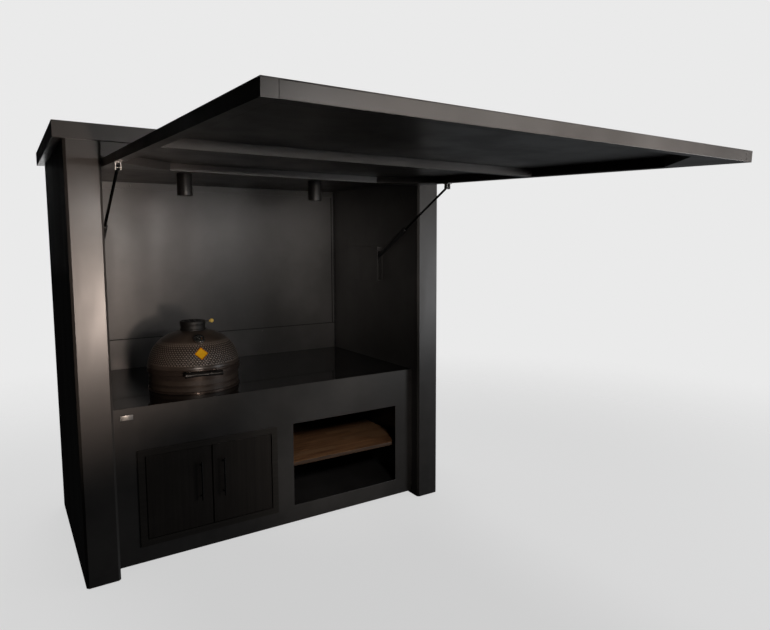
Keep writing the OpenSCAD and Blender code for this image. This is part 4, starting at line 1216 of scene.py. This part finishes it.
class MakeVent(bpy.types.Operator):
    """Chimney vent: cast drum with two cross ribs and a centre pin, a turning cap with round ports, an arm and a
    ball knob
    """
    bl_idname = "barbecue.vent"
    bl_label = "Vent"

    def execute(self, context):
        kamado = context.scene.kamado_settings
        cap_low, cap_high = box("vent_cap")
        r = VENT_R
        iron = cast_iron("vent_black", (0.006, 0.0055, 0.005))
        skirt = SEAM_Z + kamado.lid_height
        foot, seat = VENT_LOW[2], lid_surface(r, kamado)
        rim = cap_low[2] - 0.0004
        drum = path((r - 0.028, foot), (r - 0.0205, foot), (r - 0.0205, lid_surface(r - 0.020, kamado) + 0.0004),
                    (r - 0.010, lid_surface(r - 0.010, kamado) + 0.0004), (r - 0.0012, seat + 0.0004),
                    (r, seat + 0.0018), (r, seat + 0.0075), (r - 0.0025, seat + 0.0095),
                    (r - 0.0032, seat + 0.012), (r - 0.0032, rim - 0.0075), (r - 0.0008, rim - 0.0050),
                    (r - 0.0004, rim - 0.0010), (r - 0.0016, rim), (r - 0.0072, rim), (r - 0.008, rim - 0.001),
                    (r - 0.008, skirt + 0.006), (r - 0.028, skirt + 0.002))
        drum = np.concatenate([drum, drum[:1]])
        base = make_object("vent_drum", "kamado_lid", ("vent_base",))
        hub_top = cap_high[2] - 0.0062
        sheets = [revolve(drum, KAMADO, 144)]
        for degrees in (0, 90):
            sheets.append(self.spoke(KAMADO, r - 0.0075, hub_top - 0.034, degrees))
        pin = rod_outline(0.004, 0.036, 0.001)
        sheets.append(revolve(pin, KAMADO + (0, 0, hub_top - 0.028), 24, closed=False))
        fill(base, sheets, place=ABOUT_KAMADO)
        crease(base)
        lift = cap_low[2]
        top = cap_low[2] + 0.018
        cap = make_object("vent_top", "vent_cap", ("vent_cap",))
        rimmed = path((r - 0.006, lift), (r - 0.0012, lift), (r, lift + 0.0012), (r, top - 0.004),
                      arc((r - 0.004, top - 0.004), 0.004, 0, 90, 7), (r - 0.010, top),
                      (r - 0.0112, top - 0.0016), (r - 0.0135, top - 0.0016))
        ports = self.plate(KAMADO, r - 0.0135, 0.0046, top - 0.0016, top - 0.006, 6, r * 0.53, 0.0125)
        inside = path((r - 0.0135, top - 0.006), (r - 0.006, top - 0.006), (r - 0.006, lift))
        collar = path((0.0046, top - 0.006), (0.0046, top + 0.0004), (0.0075, top + 0.0008),
                      (0.0090, top - 0.0010), (0.0092, top - 0.0016))
        ball_r, ball_x = kamado.ball_radius, r + kamado.ball_reach
        arm = path((0, 0.0), (0.0045, 0.0), (0.0045, 0.003), (0.0034, 0.004), (0.0034, ball_x - r - 0.005),
                   (0, ball_x - r - 0.005))
        fill(cap, [revolve(rimmed, KAMADO, 144, closed=False), revolve(inside, KAMADO, 144, closed=False),
                   revolve(collar, KAMADO, 32, closed=False)] + ports
             + [revolve(arm, KAMADO + (r - 0.0012, 0, lift + 0.011), 24, (1, 0, 0), closed=False)],
             place=ABOUT_KAMADO)
        crease(cap)
        t = np.linspace(-90, 90, 28)
        ball = np.stack([ball_r * np.cos(np.radians(t)), ball_r * np.sin(np.radians(t))], 1)
        ball[:, 0] -= 0.0006 * np.exp(-(t / 4.0) ** 2)
        ball[[0, -1], 0] = 0
        knob = make_object("vent_knob", "vent_cap")
        centre = KAMADO + (ball_x, 0, lift + 0.011)
        neck = path((0, -0.0165), (0.0062, -0.0165), (0.0062, -0.0140), (0.0052, -0.0125),
                    (0.0052, -0.0105), (0, -0.0105))
        fill(knob, [revolve(ball, centre, 48, (1, 0, 0), closed=False),
                    revolve(neck, centre, 28, (1, 0, 0), closed=False)], place=ABOUT_KAMADO)
        crease(knob)
        shade(iron, "vent_drum", "vent_top")
        shade(yellow_knob(), "vent_knob")
        return {"FINISHED"}

    @staticmethod
    def spoke(origin, reach, z, degrees):
        """A straight rib with rounded edges through the drum's axis."""
        sheet = slab((-reach, -0.0038, z), (reach, 0.0038, z + 0.0095), 0.0010, 2)
        turn = np.array(Matrix.Rotation(math.radians(degrees), 3, "Z"))
        return turned(sheet, turn, origin)

    @staticmethod
    def plate(origin, outer, inner, top, under, ports, place, port):
        """A round plate with a ring of round ports, made of sectors.

        Each sector is mapped in polar form: its edge runs from the port's circle to the sector's border,
        point = port centre + (port + s * (border - port)) * direction, for s from 0 to 1.
        """
        sheets = []
        half = math.pi / ports
        count = 72
        a = np.linspace(0, 2 * np.pi, count, endpoint=False)
        way = np.stack([np.cos(a), np.sin(a)], 1)
        reach = np.linspace(0, outer + place, 900)[None, :]
        ray = np.array([place, 0.0]) + way[:, None] * reach[..., None]
        far = np.hypot(ray[..., 0], ray[..., 1])
        turn = np.abs(np.arctan2(ray[..., 1], ray[..., 0]))
        gone = (far > outer) | (far < inner) | (turn > half)
        border = reach[0][np.argmax(gone, 1)]
        s = np.linspace(0, 1, 5)[None, :, None]
        flat = np.array([place, 0.0]) + way[:, None] * (port + s * (border[:, None, None] - port))
        lip = np.array([place, 0.0]) + way[:, None] * (port + np.array([0.0, 0.0012])[None, :, None])
        for i in range(ports):
            spin = np.array(Matrix.Rotation(2 * half * (i + 0.5), 3, "Z"))
            for z, grid in ((top, flat), (under, flat)):
                height = np.full(grid.shape[:2] + (1,), z)
                sheets.append(turned((np.concatenate([grid, height], 2), True, False), spin, origin))
            wall = np.stack([np.concatenate([lip[:, 0], np.full((count, 1), z)], 1) for z in (under, top)], 1)
            sheets.append(turned((wall, True, False), spin, origin))
        return sheets


class MakeStage(bpy.types.Operator):
    """Pale floor, backdrop, lights and camera"""
    bl_idname = "barbecue.stage"
    bl_label = "Stage"

    def execute(self, context):
        settings = context.scene.stage_settings
        scene = context.scene
        scene.view_settings.view_transform = "Standard"
        self.floor()
        self.world(scene, settings.backdrop)
        self.lights()
        self.camera(scene, settings)
        return {"FINISHED"}

    def floor(self):
        m = Recipe("floor_paper", rough=0.9, colour=(0.26, 0.26, 0.26), Specular_IOR_Level=0.0,
                   Emission_Color=(1.0, 1.0, 1.0, 1.0), Emission_Strength=0.60)
        x, y, _ = m.axes()
        far = (x * x + y * y).math("SQRT")
        m.put("Alpha", 1.0 - far.step(2.5, 7.0))
        t = np.linspace(-60, 60, 3)
        x, y = np.meshgrid(t, t, indexing="ij")
        points = np.stack([x, y, np.full_like(x, -0.0005)], 2)
        floor = bpy.data.objects.new("floor", bpy.data.meshes.new("floor"))
        bpy.context.scene.collection.objects.link(floor)
        quads = [(0, 3, 4, 1), (1, 4, 5, 2), (3, 6, 7, 4), (4, 7, 8, 5)]
        floor.data.from_pydata(points.reshape(-1, 3).tolist(), [], quads)
        floor.data.materials.append(m.material)
        floor.visible_diffuse = False
        floor.visible_glossy = False

    def world(self, scene, backdrop):
        """Backdrop colour for the eye; for light, a dim sky that is brighter towards the right (+X)."""
        world = bpy.data.worlds.new("studio")
        scene.world = world
        world.use_nodes = True
        tree = world.node_tree
        tree.nodes.clear()
        out = tree.nodes.new("ShaderNodeOutputWorld")
        mix = tree.nodes.new("ShaderNodeMixShader")
        path_node = tree.nodes.new("ShaderNodeLightPath")
        seen = tree.nodes.new("ShaderNodeBackground")
        seen.inputs[0].default_value = (*backdrop, 1.0)
        light = tree.nodes.new("ShaderNodeBackground")
        coord = tree.nodes.new("ShaderNodeTexCoord")
        axes = tree.nodes.new("ShaderNodeSeparateXYZ")
        ramp = tree.nodes.new("ShaderNodeValToRGB")
        blend = tree.nodes.new("ShaderNodeMath")
        blend.operation = "MULTIPLY_ADD"
        blend.inputs[1].default_value = 0.5
        blend.inputs[2].default_value = 0.5
        tree.links.new(coord.outputs["Generated"], axes.inputs[0])
        tree.links.new(axes.outputs[0], blend.inputs[0])
        tree.links.new(blend.outputs[0], ramp.inputs[0])
        Recipe.stops(ramp.color_ramp, [(0.0, (0.003, 0.003, 0.003)), (0.45, (0.02, 0.02, 0.02)),
                                       (0.75, (0.24, 0.25, 0.26)), (1.0, (0.50, 0.52, 0.54))])
        tree.links.new(ramp.outputs[0], light.inputs[0])
        light.inputs[1].default_value = 0.24
        tree.links.new(path_node.outputs["Is Camera Ray"], mix.inputs[0])
        tree.links.new(light.outputs[0], mix.inputs[1])
        tree.links.new(seen.outputs[0], mix.inputs[2])
        tree.links.new(mix.outputs[0], out.inputs[0])

    @staticmethod
    def lamp(kind, name, place, target, energy, colour, more):
        """A light at a place that shines towards a target; the camera doesn't see it."""
        data = bpy.data.lights.new(name, kind)
        data.energy = energy
        data.color = colour
        for key, value in more.items():
            setattr(data, key, value)
        obj = bpy.data.objects.new(name, data)
        bpy.context.scene.collection.objects.link(obj)
        away = place - target
        away /= np.linalg.norm(away)
        helper = np.array([0, 0, 1.0]) if abs(away[2]) < 0.99 else np.array([0, 1.0, 0])
        right = np.cross(helper, away)
        right /= np.linalg.norm(right)
        basis = np.eye(4)
        basis[:3, 0], basis[:3, 1], basis[:3, 2], basis[:3, 3] = right, np.cross(away, right), away, place
        obj.matrix_world = Matrix(basis.tolist())
        obj.visible_camera = False

    def lights(self):
        """A row holds kind, name, place, target, energy, colour and settings; Y counts from the pillar fronts."""
        spot = {"spot_blend": 1.0}
        panel = {"shape": "RECTANGLE"}
        rows = (
            ("SUN", "overhead", (0, 0, 6), (0, 0, 0), 0.7, (1, 1, 1), {"angle": math.radians(20)}),
            ("SPOT", "warm_lamp", (-0.66, -3.3, 1.12), (-1.20, 0, 1.58), 265, (1.0, 0.82, 0.71),
             {"spot_size": math.radians(37), "shadow_soft_size": 0.12, **spot}),
            ("SPOT", "kamado_light", (-0.75, -2.6, 1.35), (-0.43, 0.45, 1.02), 46, (1.0, 0.86, 0.76),
             {"spot_size": math.radians(16), "shadow_soft_size": 0.05, **spot}),
            ("SPOT", "wall_fill", (-1.3, -3.2, 1.6), (0.98, 1.1, 1.50), 165, (1.0, 0.93, 0.87),
             {"spot_size": math.radians(20), "shadow_soft_size": 0.3, **spot}),
            ("SPOT", "shelf_light", (0.1, -2.4, 1.9), (0.42, 0.4, 0.42), 80, (1.0, 0.95, 0.90),
             {"spot_size": math.radians(34), "shadow_soft_size": 0.15, **spot}),
            ("AREA", "canopy_glow", (0.30, -2.9, 2.05), (0.25, -1.7, 2.10), 4.4, (1.0, 0.94, 0.90),
             {**panel, "size": 2.1, "size_y": 0.12, "spread": math.radians(44)}),
            ("AREA", "right_window", (3.7, -3.6, 1.2), (0.6, 0.3, 1.1), 30, (0.97, 0.98, 1.0),
             {**panel, "size": 1.6, "size_y": 1.4}),
            ("AREA", "rear_fill", (0.3, 5.0, 2.4), (0, 1.2, 1.2), 45, (1, 1, 1),
             {**panel, "size": 3.0, "size_y": 2.0}),
        )
        front = np.array([0, FRONT_Y, 0])
        for kind, name, place, target, energy, colour, more in rows:
            self.lamp(kind, name, front + place, front + target, energy, colour, more)

    def camera(self, scene, settings):
        """Yaw turns from +Y to +X, pitch up, then roll round the view direction."""
        yaw, pitch, roll = (math.radians(v) for v in settings.camera_turn)
        ahead = np.array([math.sin(yaw) * math.cos(pitch), math.cos(yaw) * math.cos(pitch), math.sin(pitch)])
        right = np.array([math.cos(yaw), -math.sin(yaw), 0.0])
        up = np.cross(right, ahead)
        right, up = (math.cos(roll) * right + math.sin(roll) * up,
                     math.cos(roll) * up - math.sin(roll) * right)
        data = bpy.data.cameras.new("view")
        data.sensor_width = settings.sensor
        data.lens = settings.lens
        data.shift_y = settings.lens_shift
        data.clip_end = 200.0
        camera = bpy.data.objects.new("view", data)
        scene.collection.objects.link(camera)
        basis = np.eye(4)
        basis[:3, 0], basis[:3, 1], basis[:3, 2] = right, up, -ahead
        basis[:3, 3] = np.array(settings.camera_place) + np.array([0, FRONT_Y, 0])
        camera.matrix_world = Matrix(basis.tolist())
        scene.camera = camera


OPERATORS = (MakeShell, MakeFittings, MakeWorktop, MakeDoors, MakeShelf, MakeSpots, MakeSprings, MakeLid, MakeBands,
             MakeLidHandle, MakeThermometer, MakeBadge, MakeVent, MakeStage)


class BarbecuePanel(bpy.types.Panel):
    """Sizes and steps of the barbecue cabinet"""
    bl_idname = "VIEW3D_PT_barbecue"
    bl_label = "Barbecue cabinet"
    bl_space_type = "VIEW_3D"
    bl_region_type = "UI"
    bl_category = "Barbecue"

    def draw(self, context):
        for name in SETTINGS:
            group = getattr(context.scene, name)
            column = self.layout.column(align=True)
            for key in group.__annotations__:
                column.prop(group, key)
        for operator in OPERATORS:
            self.layout.operator(operator.bl_idname)


def register():
    """Adds the settings, operators and panel."""
    for group in SETTINGS.values():
        bpy.utils.register_class(group)
    for name, group in SETTINGS.items():
        setattr(bpy.types.Scene, name, bpy.props.PointerProperty(type=group))
    for cls in OPERATORS + (BarbecuePanel,):
        bpy.utils.register_class(cls)


def unregister():
    """Removes them again."""
    for cls in reversed(OPERATORS + (BarbecuePanel,)):
        bpy.utils.unregister_class(cls)
    for name in SETTINGS:
        delattr(bpy.types.Scene, name)
    for group in SETTINGS.values():
        bpy.utils.unregister_class(group)


def main():
    """Builds every piece in order."""
    register()
    for operator in OPERATORS:
        group, name = operator.bl_idname.split(".")
        getattr(getattr(bpy.ops, group), name)()


if __name__ == "__main__":
    main()
